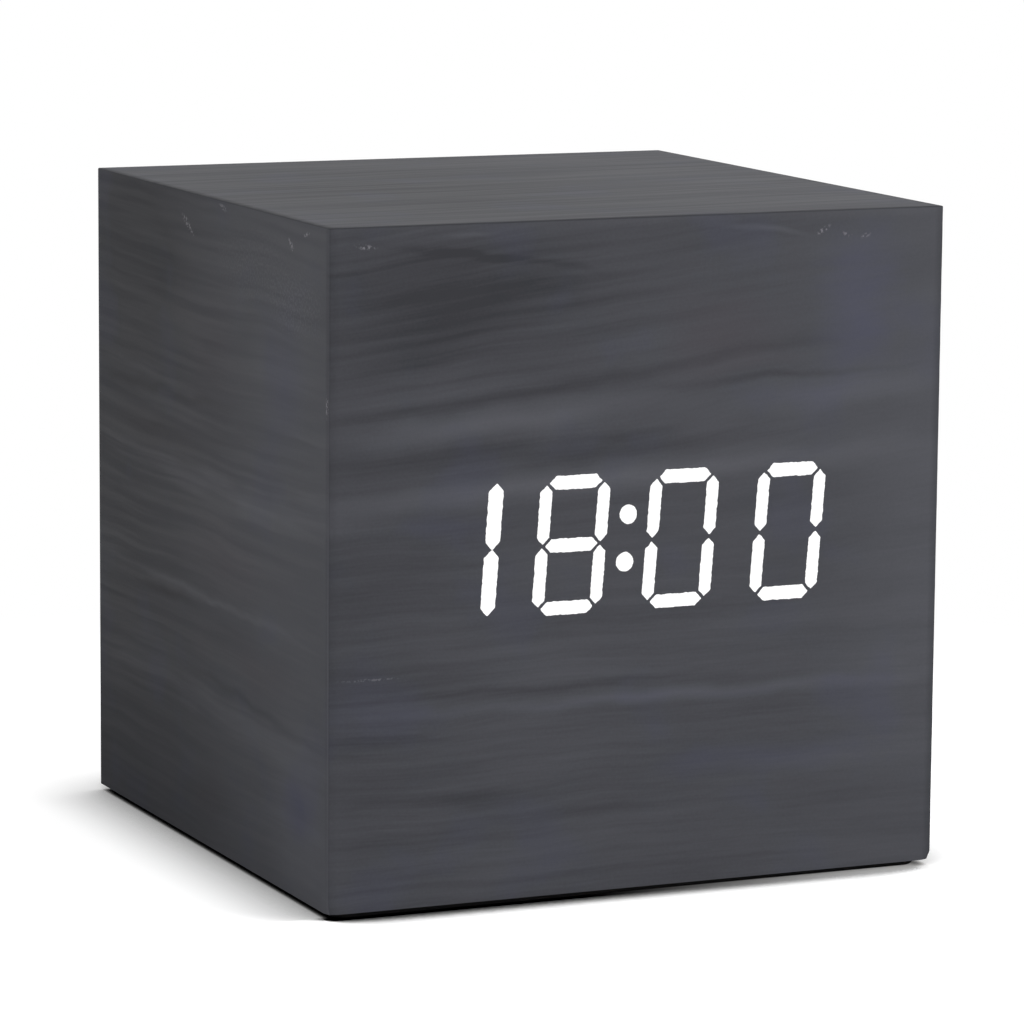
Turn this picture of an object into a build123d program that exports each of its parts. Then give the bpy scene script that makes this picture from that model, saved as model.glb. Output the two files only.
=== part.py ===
"""Cube desk clock: a folded fibreboard case in wood-grained film, around its display, keys and battery bay.

The front faces -Y, +X is to the right seen from the front, and +Z is up. The origin is the centre of the
footprint, on the surface that the clock stands on. All sizes are in millimetres.
"""
from build123d import *
import os
from math import cos, pi, radians, sin, sqrt, tan

os.makedirs("parts", exist_ok=True)

# Case
case_width = 62.0
case_depth = 62.0
case_height = 62.7  # of the wood alone, from its lower edge to its top
base_drop = 0.6  # how far the base shows below the wood
board_wall = 4.0
film_thickness = 0.3
film_edge_radius = 0.45
corner_block = 8.0
corner_block_height = 8.0
corner_block_chamfer = 1.5

# Clearances that the pieces share
fit_gap = 0.2  # between a moulding and what it slides into
hole_gap = 0.05  # around a screw, a plunger, and under a key
free_gap = 0.3  # around what must never rub
cut_over = 1.0  # how far a cut runs past the face it opens

# Display
display_shift = -1.5  # of the display's centre from the middle of the front
display_rise = 1.4  # of the display's centre above the middle of the front
digit_count = 4
digit_gap = 5.28  # between the middles of two digits' neighbouring bars
row_spacing = 5.82  # between the top, middle and bottom bars of a digit
bar_gap = 0.54  # between the tips of bars that meet
bar_width = 1.22
bar_margin = 3.44  # from the outermost bars' middles to the window's sides
leading_bar_length = 5.9  # the two bars of a leading one are longer and broader
leading_bar_width = 1.46
leading_row_spacing = 6.12
leading_shift = 0.25
slant_angle = 4.3  # degrees from upright
colon_spacing = 4.43
colon_rise = 0.3
colon_radius = 0.87
window_side_gap = 2.2  # from the window to the nearer side panel
window_height = 15.0
window_radius = 1.0
filter_thickness = 0.4
fill_depth = 2.4
led_length = 1.6
led_width = 0.8
led_height = 0.7

# Main circuit board
board_side_gap = 0.7  # to the nearer side panel
board_foot_gap = 0.55  # above the corner blocks
board_head_gap = 8.65  # below the top panel
board_radius = 1.5
board_thickness = 1.6
board_screw_inset = 2.6
board_screw_grip = 3.2  # length in the fibreboard
small_screw_radius = 0.8
small_screw_head_radius = 1.7
small_screw_head = 1.1
cross_length = 1.9
cross_width = 0.45
cross_depth = 0.5

# Rear bezel, keys and power jack
rear_height = 35.2  # of their centre line above the wood's lower edge
bezel_length = 48.0
bezel_width = 14.0
bezel_plate = 1.4
bezel_recess = 1.2  # of its face below the back of the case
bezel_ledge = 1.6  # of the back panel under the plate
bezel_wall = 1.2
bezel_skirt = 2.7
boss_radius = 2.1
boss_inset = 5.4  # of each boss from the end of the bezel
hole_chamfer = 0.25
key_pitch = 8.0
key_row_shift = -4.6  # of the middle key from the middle of the back
key_radius = 2.6
key_proud = 0.8  # of a key's cap above the bezel
key_flange_radius = 3.3
key_flange = 0.8
key_crown = 0.5  # of the chamfer round a key's face
key_travel = 0.3
switch_size = 6.0
switch_height = 3.5
switch_chamfer = 0.6
plunger_radius = 1.7
plunger_proud = 0.8
plunger_depth = 1.5
key_board_end = 3.4  # of the board past each of its screws
key_board_width = 12.0
key_board_radius = 2.0
key_screw_grip = 3.0
jack_shift = 12.0
jack_size = 7.4
jack_nose_radius = 3.0
jack_nose_set_back = 0.2  # of the nose from the bezel's face
jack_bore_radius = 1.8
jack_floor = 1.0
jack_pin_radius = 0.65
jack_pin_set_back = 0.9  # of the pin's tip from the nose
jack_leaf_thickness = 0.25
jack_leaf_width = 1.6
jack_leaf_length = 3.6

# Base cover and battery bay
base_inset = 0.8  # of the base from the faces of the wood
base_corner_radius = 1.6
base_edge_chamfer = 0.25
base_plate = 1.6
rim_wall = 1.2
rim_height = 4.4
screw_boss_radius = 3.0
screw_boss_height = 6.4
screw_inset = 4.2  # of each screw from the two inner faces of the case
screw_radius = 1.2
screw_head_radius = 2.3
screw_recess = 0.5  # of the head below the base
screw_grip = 6.0  # length in the corner block
cell_count = 3
bay_end_gap = 1.0  # between the bay and the side panels
bay_side_gap = 0.85  # between the bay and the corner blocks
cell_nub_radius = 1.9
cell_nub = 0.9
cell_edge_chamfer = 0.5
cell_lift = 2.3  # of the cells' lowest line above the standing surface
bay_wall = 1.2
ledge_width = 1.5  # of the ledge under the contacts, which also stops the door
ledge_thickness = 0.8
contact_thickness = 0.3
contact_spacing = 2.5  # between two contacts side by side
contact_rise = 3.0  # of a contact's top above the cells' axis
contact_tab_width = 3.0
contact_tab_proud = 1.6  # of its solder tab above the bay
dimple_height = 0.7
dimple_radius = 2.2
dimple_top_radius = 1.2
spring_length = 3.2
spring_wire_radius = 0.25
spring_large_radius = 3.0
spring_small_radius = 1.8
spring_turns = 3
spring_wire_sides = 6
quarters = 4  # pairs of arcs in one turn of a spring

# Battery door
opening_end = 0.5  # from each end of the bay's hollow to the door's opening
door_recess = 0.2
door_corner_radius = 1.0
tab_width = 7.0
tab_spacing = 26.0
tab_reach = 1.4
tab_thickness = 0.85
tab_root = 1.6
tab_lift = 0.15
tongue_width = 13.0
tongue_length = 8.0
tongue_slot = 0.8
snap_reach = 0.12
snap_width = 8.0
snap_height = 0.5
snap_groove = 0.3
grip_length = 9.0
grip_width = 5.0
grip_depth = 0.5
grip_rib = 0.5
grip_pitch = 1.3
grip_inset = 3.6  # of the grip's middle from the door's front edge
cell_rib = 1.0
cell_rib_rise = 1.6
cell_rib_inset = 3.25  # of each rib from the end of the cells
cell_rib_end_gap = 1.2

# Parts on the main board, each placed by shares of the board's width and height from its middle
controller_shares = (-0.185, 0.23)
controller_size = (10.2, 7.4, 2.2)
driver_shares = (0.275, 0.33)
driver_size = (10.2, 3.9, 1.6)
lead_count = 8  # on each long side of a chip
lead_pitch = 1.27
lead_width = 0.42
lead_thickness = 0.2
lead_reach = 1.1
chip_chamfer = 0.3
crystal_shares = (-0.385, 0.155)
crystal_radius = 1.0
crystal_length = 6.0
capacitor_shares = (-0.365, -0.11)
capacitor_radius = 2.5
capacitor_height = 7.0
capacitor_groove = 0.35
capacitor_groove_height = 1.2
buzzer_shares = (0.295, -0.095)
buzzer_radius = 4.6
buzzer_height = 5.0
buzzer_hole_radius = 0.9
buzzer_hole_depth = 1.2
microphone_shares = (0.08, -0.185)
microphone_radius = 3.0
microphone_height = 2.7
microphone_rim = 0.6
microphone_felt_depth = 0.3
thermistor_shares = (-0.12, -0.255)
thermistor_radius = 0.9
thermistor_stem = 3.0
thermistor_chamfer = 0.35
thermistor_wire_radius = 0.25
thermistor_wire_spacing = 0.9

# Leads and cable
lead_wire_radius = 0.6
lead_wire_sides = 8
lead_solder_drop = 0.8  # of a lead's axis below the top of its contact's tab
cable_thickness = 0.8
cable_width = 7.2
cable_rise = 8.5  # of the top of the cable's arch above its ends
red_lead_shares = (0.335, -0.33)  # where it ends on the main board
black_lead_shares = (-0.295, -0.33)
cable_shares = (0.03, 0.13)

# Levels and faces that follow from the sizes above
wood_low = base_drop
core_width = case_width - 2 * film_thickness
core_depth = case_depth - 2 * film_thickness
core_height = case_height - film_thickness
core_top = wood_low + core_height
inner_width = core_width - 2 * board_wall
inner_depth = core_depth - 2 * board_wall
front_face = -case_depth / 2
front_core = -core_depth / 2
front_inner = -inner_depth / 2
back_face = case_depth / 2
back_core = core_depth / 2
back_inner = inner_depth / 2
display_height = case_height / 2 + display_rise
window_width = inner_width - 2 * (abs(display_shift) + window_side_gap)
digit_pitch = (window_width - 2 * bar_margin + digit_gap) / digit_count
column_spacing = digit_pitch - digit_gap  # between the left and right bars of a digit


def save(piece, name):
    """Labels a finished piece with its name and writes it."""
    piece.part.label = name
    export_step(piece.part, f"parts/{name}.step")


def upright_plane(y, x=0, height=0):
    """A plane across the case at depth y, facing the front; its height is from the wood's lower edge."""
    return Plane(origin=(x, y, wood_low + height), x_dir=(1, 0, 0), z_dir=(0, -1, 0))


# Case panels: fibreboard, V-grooved and folded, so that each joint between them is a 45 degree mitre
def mitred_panel(face, width):
    """A side of the case, which slopes in at 45 degrees at both sides and the top; its foot is square."""
    with BuildPart() as panel:
        with BuildSketch(face):
            with Locations((0, core_height / 2)):
                Rectangle(width, core_height)
        with BuildSketch(face.offset(-board_wall)):
            with Locations((0, (core_height - board_wall) / 2)):
                Rectangle(width - 2 * board_wall, core_height - board_wall)
        loft()
    return panel.part


right_core = core_width / 2
front_blank = mitred_panel(upright_plane(front_core), core_width)
back_blank = mitred_panel(Plane((0, back_core, wood_low), (-1, 0, 0), (0, 1, 0)), core_width)
left_blank = mitred_panel(Plane((-right_core, 0, wood_low), (0, -1, 0), (-1, 0, 0)), core_depth)
right_blank = mitred_panel(Plane((right_core, 0, wood_low), (0, 1, 0), (1, 0, 0)), core_depth)

# The main board stands on the front panel between the corner blocks and the top panel
block_low = base_plate + screw_boss_height
block_high = block_low + corner_block_height
board_low = block_high + board_foot_gap
board_high = core_top - board_wall - board_head_gap
board_height = board_high - board_low
board_middle = (board_low + board_high) / 2 - wood_low  # above the wood's lower edge
board_width = inner_width - 2 * (abs(display_shift) + board_side_gap)
board_screw_places = GridLocations(
    board_width - 2 * board_screw_inset,
    board_height - 2 * board_screw_inset,
    2,
    2,
)

with BuildPart() as front_panel:
    add(front_blank)
    with BuildSketch(upright_plane(front_core - cut_over, display_shift, display_height)):
        RectangleRounded(window_width, window_height, window_radius)
    extrude(amount=-board_wall - 2 * cut_over, mode=Mode.SUBTRACT)
    with BuildSketch(upright_plane(front_inner, display_shift, board_middle)):
        with board_screw_places:
            Circle(small_screw_radius + hole_gap)
    extrude(amount=board_screw_grip + hole_gap, mode=Mode.SUBTRACT)
save(front_panel, "front_panel")

with BuildPart() as left_panel:
    add(left_blank)
save(left_panel, "left_panel")

with BuildPart() as right_panel:
    add(right_blank)
save(right_panel, "right_panel")

with BuildPart() as top_panel:
    with BuildSketch(Plane.XY.offset(core_top)):
        Rectangle(core_width, core_depth)
    with BuildSketch(Plane.XY.offset(core_top - board_wall)):
        Rectangle(inner_width, inner_depth)
    loft()
save(top_panel, "top_panel")

# The bezel lies in a rebate of the back panel, and its skirt passes through the cut-out inside that
bezel_face = back_face - bezel_recess
bezel_seat = bezel_face - bezel_plate
rebate_size = (bezel_length + 2 * fit_gap, bezel_width + 2 * fit_gap)
cutout_size = (bezel_length - 2 * bezel_ledge, bezel_width - 2 * bezel_ledge)

with BuildPart() as back_panel:
    add(back_blank)
    with BuildSketch(upright_plane(bezel_seat, 0, rear_height)):
        SlotOverall(*rebate_size)
    extrude(amount=bezel_seat - back_core - cut_over, mode=Mode.SUBTRACT)
    with BuildSketch(upright_plane(back_inner - cut_over, 0, rear_height)):
        SlotOverall(*cutout_size)
    extrude(amount=-board_wall - 2 * cut_over, mode=Mode.SUBTRACT)
save(back_panel, "back_panel")

# Blocks glued into the lower corners, each with a pilot hole for a base screw
block_spacing = (inner_width - corner_block, inner_depth - corner_block)
screw_spacing = (inner_width - 2 * screw_inset, inner_depth - 2 * screw_inset)

with BuildPart() as corner_blocks:
    with BuildSketch(Plane.XY.offset(block_low)):
        with GridLocations(*block_spacing, 2, 2):
            Rectangle(corner_block, corner_block)
    extrude(amount=corner_block_height)
    for block in corner_blocks.solids():
        innermost = block.edges().filter_by(Axis.Z).sort_by(SortBy.DISTANCE)[0]
        chamfer(innermost, corner_block_chamfer)
    with BuildSketch(Plane.XY.offset(block_low)):
        with GridLocations(*screw_spacing, 2, 2):
            Circle(screw_radius + hole_gap)
    extrude(amount=screw_grip + hole_gap, mode=Mode.SUBTRACT)
save(corner_blocks, "corner_blocks")

# Display: slanted seven-segment digits and a colon, drawn once and used by every layer of the display
shown_bars = ("bc", "abcdefg", "abcdef", "abcdef")
all_bars = ("abcdefg",) * digit_count
bar_shares = {
    "a": (0, 1, False),
    "b": (0.5, 0.5, True),
    "c": (0.5, -0.5, True),
    "d": (0, -1, False),
    "e": (-0.5, -0.5, True),
    "f": (-0.5, 0.5, True),
    "g": (0, 0, False),
}
lean = tan(radians(slant_angle))


def bar_frame(digit, name):
    """The centre of a bar from the display's centre, its length and width, and whether it stands upright."""
    column, row, upright = bar_shares[name]
    digit_x = (digit - (digit_count - 1) / 2) * digit_pitch
    if digit == 0 and name in "bc":
        centre = (digit_x + column * column_spacing + leading_shift, row * leading_row_spacing)
        return centre, leading_bar_length, leading_bar_width, upright
    spacing = row_spacing if upright else column_spacing
    return (digit_x + column * column_spacing, row * row_spacing), spacing - bar_gap, bar_width, upright


def bar_outline(digit, name):
    """The six corners of a bar with pointed ends, leaning to the right as the digits do."""
    centre, length, width, upright = bar_frame(digit, name)
    half = length / 2
    tip = width / 2
    right_end = [(half - tip, tip), (half, 0), (half - tip, -tip)]
    left_end = [(tip - half, -tip), (-half, 0), (tip - half, tip)]
    flat = right_end + left_end
    corners = [(v, u) if upright else (u, v) for u, v in flat]
    points = [(centre[0] + u, centre[1] + v) for u, v in corners]
    return [(x + z * lean, z) for x, z in points]


def colon_places():
    """The centres of the colon's two dots, from the display's centre."""
    heights = (colon_rise + colon_spacing / 2, colon_rise - colon_spacing / 2)
    return [(z * lean, z) for z in heights]


def draw_display(letters):
    """Draws the named bars of each digit, and the colon, in the sketch that is open."""
    for digit, names in enumerate(letters):
        for name in names:
            Polygon(*bar_outline(digit, name), align=None)
    with Locations(*colon_places()):
        Circle(colon_radius)


def display_plane(y):
    """The upright plane at depth y whose origin is the display's centre."""
    return upright_plane(y, display_shift, display_height)


housing_front = front_core + filter_thickness
housing_size = (window_width - 2 * fit_gap, window_height - 2 * fit_gap, window_radius - fit_gap)

with BuildPart() as lit_segments:
    with BuildSketch(display_plane(front_face)):
        draw_display(shown_bars)
    extrude(amount=-film_thickness)
save(lit_segments, "lit_segments")

with BuildPart() as display_filter:
    with BuildSketch(display_plane(front_core)):
        RectangleRounded(*housing_size)
    extrude(amount=-filter_thickness)
save(display_filter, "display_filter")

with BuildPart() as display_housing:
    with BuildSketch(display_plane(housing_front)):
        RectangleRounded(*housing_size)
    extrude(amount=housing_front - front_inner)
    with BuildSketch(display_plane(housing_front - cut_over)):
        draw_display(all_bars)
    extrude(amount=housing_front - front_inner - 2 * cut_over, mode=Mode.SUBTRACT)
save(display_housing, "display_housing")

with BuildPart() as segment_fill:
    with BuildSketch(display_plane(housing_front)):
        draw_display(all_bars)
    extrude(amount=-fill_depth)
save(segment_fill, "segment_fill")

with BuildPart() as led_chips:
    with BuildSketch(display_plane(front_inner)):
        for digit in range(digit_count):
            for name in bar_shares:
                (x, z), length, width, upright = bar_frame(digit, name)
                with Locations((x + z * lean, z)):
                    Rectangle(led_width, led_length) if upright else Rectangle(led_length, led_width)
        with Locations(*colon_places()):
            Rectangle(led_width, led_width)
    extrude(amount=led_height)
save(led_chips, "led_chips")

# Film: one printed sheet folded over the front, both sides and the top, and another sheet on the back
with BuildPart() as film_wrap:
    with BuildSketch(Plane.XY.offset(wood_low)):
        Rectangle(case_width, case_depth)
    extrude(amount=case_height)
    front_corners = film_wrap.edges().filter_by(Axis.Z).group_by(Axis.Y)[0]
    top_corners = film_wrap.edges().group_by(Axis.Z)[-1].sort_by(Axis.Y)[:-1]
    fillet(front_corners + top_corners, film_edge_radius)
    with BuildSketch(Plane.XY.offset(wood_low - cut_over)):
        with Locations((0, (front_core + back_face + cut_over) / 2)):
            Rectangle(core_width, back_face + cut_over - front_core)
    extrude(amount=core_height + cut_over, mode=Mode.SUBTRACT)
    with BuildSketch(display_plane(front_face - cut_over)):
        draw_display(shown_bars)
    extrude(amount=-film_thickness - 2 * cut_over, mode=Mode.SUBTRACT)
save(film_wrap, "film_wrap")

with BuildPart() as back_film:
    with BuildSketch(upright_plane(back_core)):
        with Locations((0, core_height / 2)):
            Rectangle(core_width, core_height)
        with Locations((0, rear_height)):
            SlotOverall(*rebate_size, mode=Mode.SUBTRACT)
    extrude(amount=-film_thickness)
save(back_film, "back_film")


# Main circuit board on the back of the front panel, with its screws
def add_pan_screw(seat, shank_length):
    """A pan-head screw in the part that is open, with its head on the seat plane and its shank behind it."""
    with BuildSketch(seat) as head:
        Circle(small_screw_head_radius)
    extrude(head.sketch, amount=small_screw_head)
    with BuildSketch(seat) as shank:
        Circle(small_screw_radius)
    extrude(shank.sketch, amount=-shank_length)
    with BuildSketch(seat.offset(small_screw_head)) as cross:
        Rectangle(cross_length, cross_width)
        Rectangle(cross_width, cross_length)
    extrude(cross.sketch, amount=-cross_depth, mode=Mode.SUBTRACT)


main_board_back = front_inner + board_thickness

with BuildPart() as main_board:
    with BuildSketch(upright_plane(front_inner, display_shift, board_middle)):
        RectangleRounded(board_width, board_height, board_radius)
        with board_screw_places:
            Circle(small_screw_radius + hole_gap, mode=Mode.SUBTRACT)
    extrude(amount=-board_thickness)
save(main_board, "main_board")

with BuildPart() as board_screws:
    for place in board_screw_places:
        x, z = place.position.X, place.position.Y
        seat = Plane(
            origin=(display_shift + x, main_board_back, wood_low + board_middle + z),
            x_dir=(1, 0, 0),
            z_dir=(0, 1, 0),
        )
        add_pan_screw(seat, board_thickness + board_screw_grip)
save(board_screws, "board_screws")


def board_place(shares):
    """The x and the height of a place on the main board, from shares of its size."""
    return display_shift + shares[0] * board_width, wood_low + board_middle + shares[1] * board_height


def board_plane(shares, out=0):
    """A plane at a place on the main board, a little out from its face, looking into the case."""
    x, height = board_place(shares)
    return Plane(origin=(x, main_board_back + out, height), x_dir=(1, 0, 0), z_dir=(0, 1, 0))


def chip(shares, size):
    """A chip with a row of bent leads along each long side."""
    length, width, height = size
    middle_x, middle_height = board_place(shares)
    with BuildPart() as body:
        with BuildSketch(board_plane(shares, lead_thickness)):
            Rectangle(length, width)
        extrude(amount=height - lead_thickness)
        chamfer(body.faces().sort_by(Axis.Y)[-1].edges(), chip_chamfer)
        for side in (-1, 1):
            for index in range(lead_count):
                x = middle_x + (index - (lead_count - 1) / 2) * lead_pitch
                lead_plane = Plane((x, main_board_back, middle_height), (0, 0, side), (1, 0, 0))
                step = side * -1
                with BuildSketch(lead_plane):
                    with BuildLine():
                        Polyline(
                            (width / 2 - lead_thickness, step * height / 2),
                            (width / 2 + lead_reach / 3, step * height / 2),
                            (width / 2 + lead_reach / 2, step * lead_thickness / 2),
                            (width / 2 + lead_reach, step * lead_thickness / 2),
                        )
                    trace(line_width=lead_thickness)
                extrude(amount=lead_width / 2, both=True)
    return body


controller_chip = chip(controller_shares, controller_size)
save(controller_chip, "controller_chip")

led_driver = chip(driver_shares, driver_size)
save(led_driver, "led_driver")

with BuildPart() as clock_crystal:
    crystal_x, crystal_height = board_place(crystal_shares)
    crystal_low = crystal_height - crystal_length / 2
    with BuildSketch(Plane((crystal_x, main_board_back + crystal_radius, crystal_low))):
        Circle(crystal_radius)
    extrude(amount=crystal_length)
    chamfer(clock_crystal.edges().group_by(Axis.Z)[-1], crystal_radius / 4)
save(clock_crystal, "clock_crystal")

with BuildPart() as capacitor:
    with BuildSketch(board_plane(capacitor_shares)):
        Circle(capacitor_radius)
    extrude(amount=capacitor_height)
    chamfer(capacitor.edges().group_by(Axis.Y)[-1], capacitor_groove)
    with BuildSketch(board_plane(capacitor_shares, capacitor_groove_height)):
        Circle(capacitor_radius + cut_over)
        Circle(capacitor_radius - capacitor_groove, mode=Mode.SUBTRACT)
    extrude(amount=capacitor_groove, mode=Mode.SUBTRACT)
save(capacitor, "capacitor")

with BuildPart() as buzzer:
    with BuildSketch(board_plane(buzzer_shares)):
        Circle(buzzer_radius)
    extrude(amount=buzzer_height)
    chamfer(buzzer.edges().group_by(Axis.Y)[-1], hole_chamfer)
    with BuildSketch(board_plane(buzzer_shares, buzzer_height)):
        Circle(buzzer_hole_radius)
    extrude(amount=-buzzer_hole_depth, mode=Mode.SUBTRACT)
save(buzzer, "buzzer")

with BuildPart() as microphone:
    with BuildSketch(board_plane(microphone_shares)):
        Circle(microphone_radius)
    extrude(amount=microphone_height)
    with BuildSketch(board_plane(microphone_shares, microphone_height)):
        Circle(microphone_radius - microphone_rim)
    extrude(amount=-microphone_felt_depth, mode=Mode.SUBTRACT)
save(microphone, "microphone")

with BuildPart() as thermistor:
    with BuildSketch(board_plane(thermistor_shares)):
        with GridLocations(thermistor_wire_spacing, 0, 2, 1):
            Circle(thermistor_wire_radius)
    extrude(amount=thermistor_stem)
    with BuildSketch(board_plane(thermistor_shares, thermistor_stem)):
        Circle(thermistor_radius)
    extrude(amount=2 * thermistor_radius)
    chamfer(thermistor.edges().group_by(Axis.Y)[-1], thermistor_chamfer)
save(thermistor, "thermistor")

# Rear bezel: a moulding glued in the back panel, with holes for the keys and the jack, and bosses behind
key_flange_back = bezel_seat - hole_gap - key_flange
switch_top = key_flange_back - plunger_proud
key_board_face = switch_top - switch_height
key_board_back = key_board_face - board_thickness
key_shifts = {
    "set": key_row_shift - key_pitch,
    "down": key_row_shift,
    "up": key_row_shift + key_pitch,
}
boss_spacing = bezel_length - 2 * boss_inset
key_board_length = boss_spacing + 2 * key_board_end

with BuildPart() as rear_bezel:
    with BuildSketch(upright_plane(bezel_seat, 0, rear_height)):
        SlotOverall(bezel_length, bezel_width)
    extrude(amount=-bezel_plate)
    with BuildSketch(upright_plane(bezel_seat, 0, rear_height)):
        SlotOverall(cutout_size[0] - 2 * fit_gap, cutout_size[1] - 2 * fit_gap)
        SlotOverall(
            cutout_size[0] - 2 * fit_gap - 2 * bezel_wall,
            cutout_size[1] - 2 * fit_gap - 2 * bezel_wall,
            mode=Mode.SUBTRACT,
        )
    extrude(amount=bezel_skirt)
    with BuildSketch(upright_plane(bezel_seat, 0, rear_height)):
        with GridLocations(boss_spacing, 0, 2, 1):
            Circle(boss_radius)
    extrude(amount=bezel_seat - key_board_face)
    with BuildSketch(upright_plane(key_board_face, 0, rear_height)):
        with GridLocations(boss_spacing, 0, 2, 1):
            Circle(small_screw_radius + hole_gap)
    extrude(amount=-key_screw_grip - hole_gap, mode=Mode.SUBTRACT)
    with BuildSketch(upright_plane(bezel_face, 0, rear_height)):
        with Locations(*[(shift, 0) for shift in key_shifts.values()]):
            Circle(key_radius + fit_gap)
        with Locations((jack_shift, 0)):
            Circle(jack_nose_radius + fit_gap)
    extrude(amount=bezel_plate, mode=Mode.SUBTRACT)
    outer_rims = rear_bezel.edges().filter_by(GeomType.CIRCLE).group_by(Axis.Y)[-1]
    chamfer([rim for rim in outer_rims if rim.radius < bezel_width / 3], hole_chamfer)
save(rear_bezel, "rear_bezel")

with BuildPart() as key_board:
    with BuildSketch(upright_plane(key_board_face, 0, rear_height)):
        RectangleRounded(key_board_length, key_board_width, key_board_radius)
        with GridLocations(boss_spacing, 0, 2, 1):
            Circle(small_screw_radius + hole_gap, mode=Mode.SUBTRACT)
    extrude(amount=board_thickness)
save(key_board, "key_board")

with BuildPart() as key_screws:
    for side in (-1, 1):
        seat = upright_plane(key_board_back, side * boss_spacing / 2, rear_height)
        add_pan_screw(seat, board_thickness + key_screw_grip)
save(key_screws, "key_screws")

for name, shift in key_shifts.items():
    with BuildPart() as button:
        with BuildSketch(upright_plane(key_flange_back, shift, rear_height)):
            Circle(key_flange_radius)
        extrude(amount=-key_flange)
        with BuildSketch(upright_plane(key_flange_back + key_flange, shift, rear_height)):
            Circle(key_radius)
        extrude(amount=-hole_gap - bezel_plate - key_proud)
        chamfer(button.edges().group_by(Axis.Y)[-1], key_crown)
    save(button, f"{name}_button")

    with BuildPart() as switch:
        with BuildSketch(upright_plane(key_board_face, shift, rear_height)):
            Rectangle(switch_size, switch_size)
        extrude(amount=-switch_height)
        chamfer(switch.edges().filter_by(Axis.Y), switch_chamfer)
        with BuildSketch(upright_plane(switch_top, shift, rear_height)):
            Circle(plunger_radius + hole_gap)
        extrude(amount=plunger_depth + key_travel + free_gap, mode=Mode.SUBTRACT)
    save(switch, f"{name}_switch")

    with BuildPart() as plunger:
        with BuildSketch(upright_plane(key_flange_back, shift, rear_height)):
            Circle(plunger_radius)
        extrude(amount=plunger_proud + plunger_depth)
    save(plunger, f"{name}_plunger")

# Power jack on the key board: its nose fills the bezel's round hole
jack_nose = bezel_face - jack_nose_set_back
jack_bore_floor = key_board_face + jack_floor
jack_leaf_offset = jack_bore_radius + jack_leaf_thickness / 2

with BuildPart() as jack_housing:
    with BuildSketch(upright_plane(key_board_face, jack_shift, rear_height)):
        Rectangle(jack_size, jack_size)
    extrude(amount=key_board_face + hole_gap - bezel_seat)
    chamfer(jack_housing.edges().filter_by(Axis.Y), switch_chamfer)
    with BuildSketch(upright_plane(bezel_seat - hole_gap, jack_shift, rear_height)):
        Circle(jack_nose_radius)
    extrude(amount=bezel_seat - hole_gap - jack_nose)
    with BuildSketch(upright_plane(jack_bore_floor, jack_shift, rear_height)):
        Circle(jack_bore_radius)
    extrude(amount=jack_bore_floor - jack_nose, mode=Mode.SUBTRACT)
    chamfer(jack_housing.edges().group_by(Axis.Y)[-1].sort_by(SortBy.LENGTH)[0], hole_chamfer)
    with BuildSketch(upright_plane(jack_bore_floor, jack_shift, rear_height - jack_leaf_offset)):
        Rectangle(jack_leaf_width, jack_leaf_thickness + 2 * fit_gap)
    extrude(amount=-jack_leaf_length, mode=Mode.SUBTRACT)
save(jack_housing, "jack_housing")

with BuildPart() as jack_pin:
    with BuildSketch(upright_plane(jack_bore_floor, jack_shift, rear_height)):
        Circle(jack_pin_radius)
    extrude(amount=jack_bore_floor + jack_pin_set_back - jack_nose)
    chamfer(jack_pin.edges().group_by(Axis.Y)[-1], jack_pin_radius / 2)
save(jack_pin, "jack_pin")

with BuildPart() as jack_leaf:
    with BuildSketch(upright_plane(jack_bore_floor, jack_shift, rear_height - jack_leaf_offset - fit_gap)):
        Rectangle(jack_leaf_width, jack_leaf_thickness)
    extrude(amount=-jack_leaf_length)
save(jack_leaf, "jack_leaf")

# Base cover: plate, rim, screw bosses and a bay with a rounded channel for each cell
bay_half_length = inner_width / 2 - bay_end_gap - bay_wall
bay_half_width = inner_depth / 2 - corner_block - bay_side_gap - bay_wall
channel_radius = bay_half_width / cell_count
cell_pitch = 2 * channel_radius
cell_radius = channel_radius - free_gap
cell_length = 2 * (bay_half_length - contact_thickness) - spring_length - dimple_height
cell_axis = cell_lift + cell_radius
cell_rows = [(index - (cell_count - 1) / 2) * cell_pitch for index in range(cell_count)]
bay_top = cell_axis + channel_radius + bay_wall
opening_length = 2 * (bay_half_length - opening_end)
contact_width = cell_pitch - contact_spacing
ledge_top = base_plate + ledge_thickness
contact_top = cell_axis + contact_rise
tab_sweep = sqrt(tab_reach**2 + (base_plate + tab_lift + tab_thickness) ** 2)


def side_plane(x):
    """A plane across the bay at x, facing the right, with its x to the back and its y up."""
    return Plane(origin=(x, 0, 0), x_dir=(0, 1, 0), z_dir=(1, 0, 0))


def draw_bay(radius, half_width, low):
    """Draws the bay's rounded outline, from a level up to the channels, in the sketch that is open."""
    with Locations(*[(y, cell_axis) for y in cell_rows]):
        Circle(radius)
    with Locations((0, (low + cell_axis) / 2)):
        Rectangle(2 * half_width, cell_axis - low)


def draw_screw_hole(radius, head_radius):
    """Draws half of a countersunk screw's outline beside its axis, head down, in the sketch that is open."""
    neck = screw_recess + screw_head_radius - screw_radius
    shank_top = block_low + screw_grip
    outer = [(head_radius, screw_recess), (radius, neck), (radius, shank_top)]
    Polygon((0, screw_recess), *outer, (0, shank_top), align=None)


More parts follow.
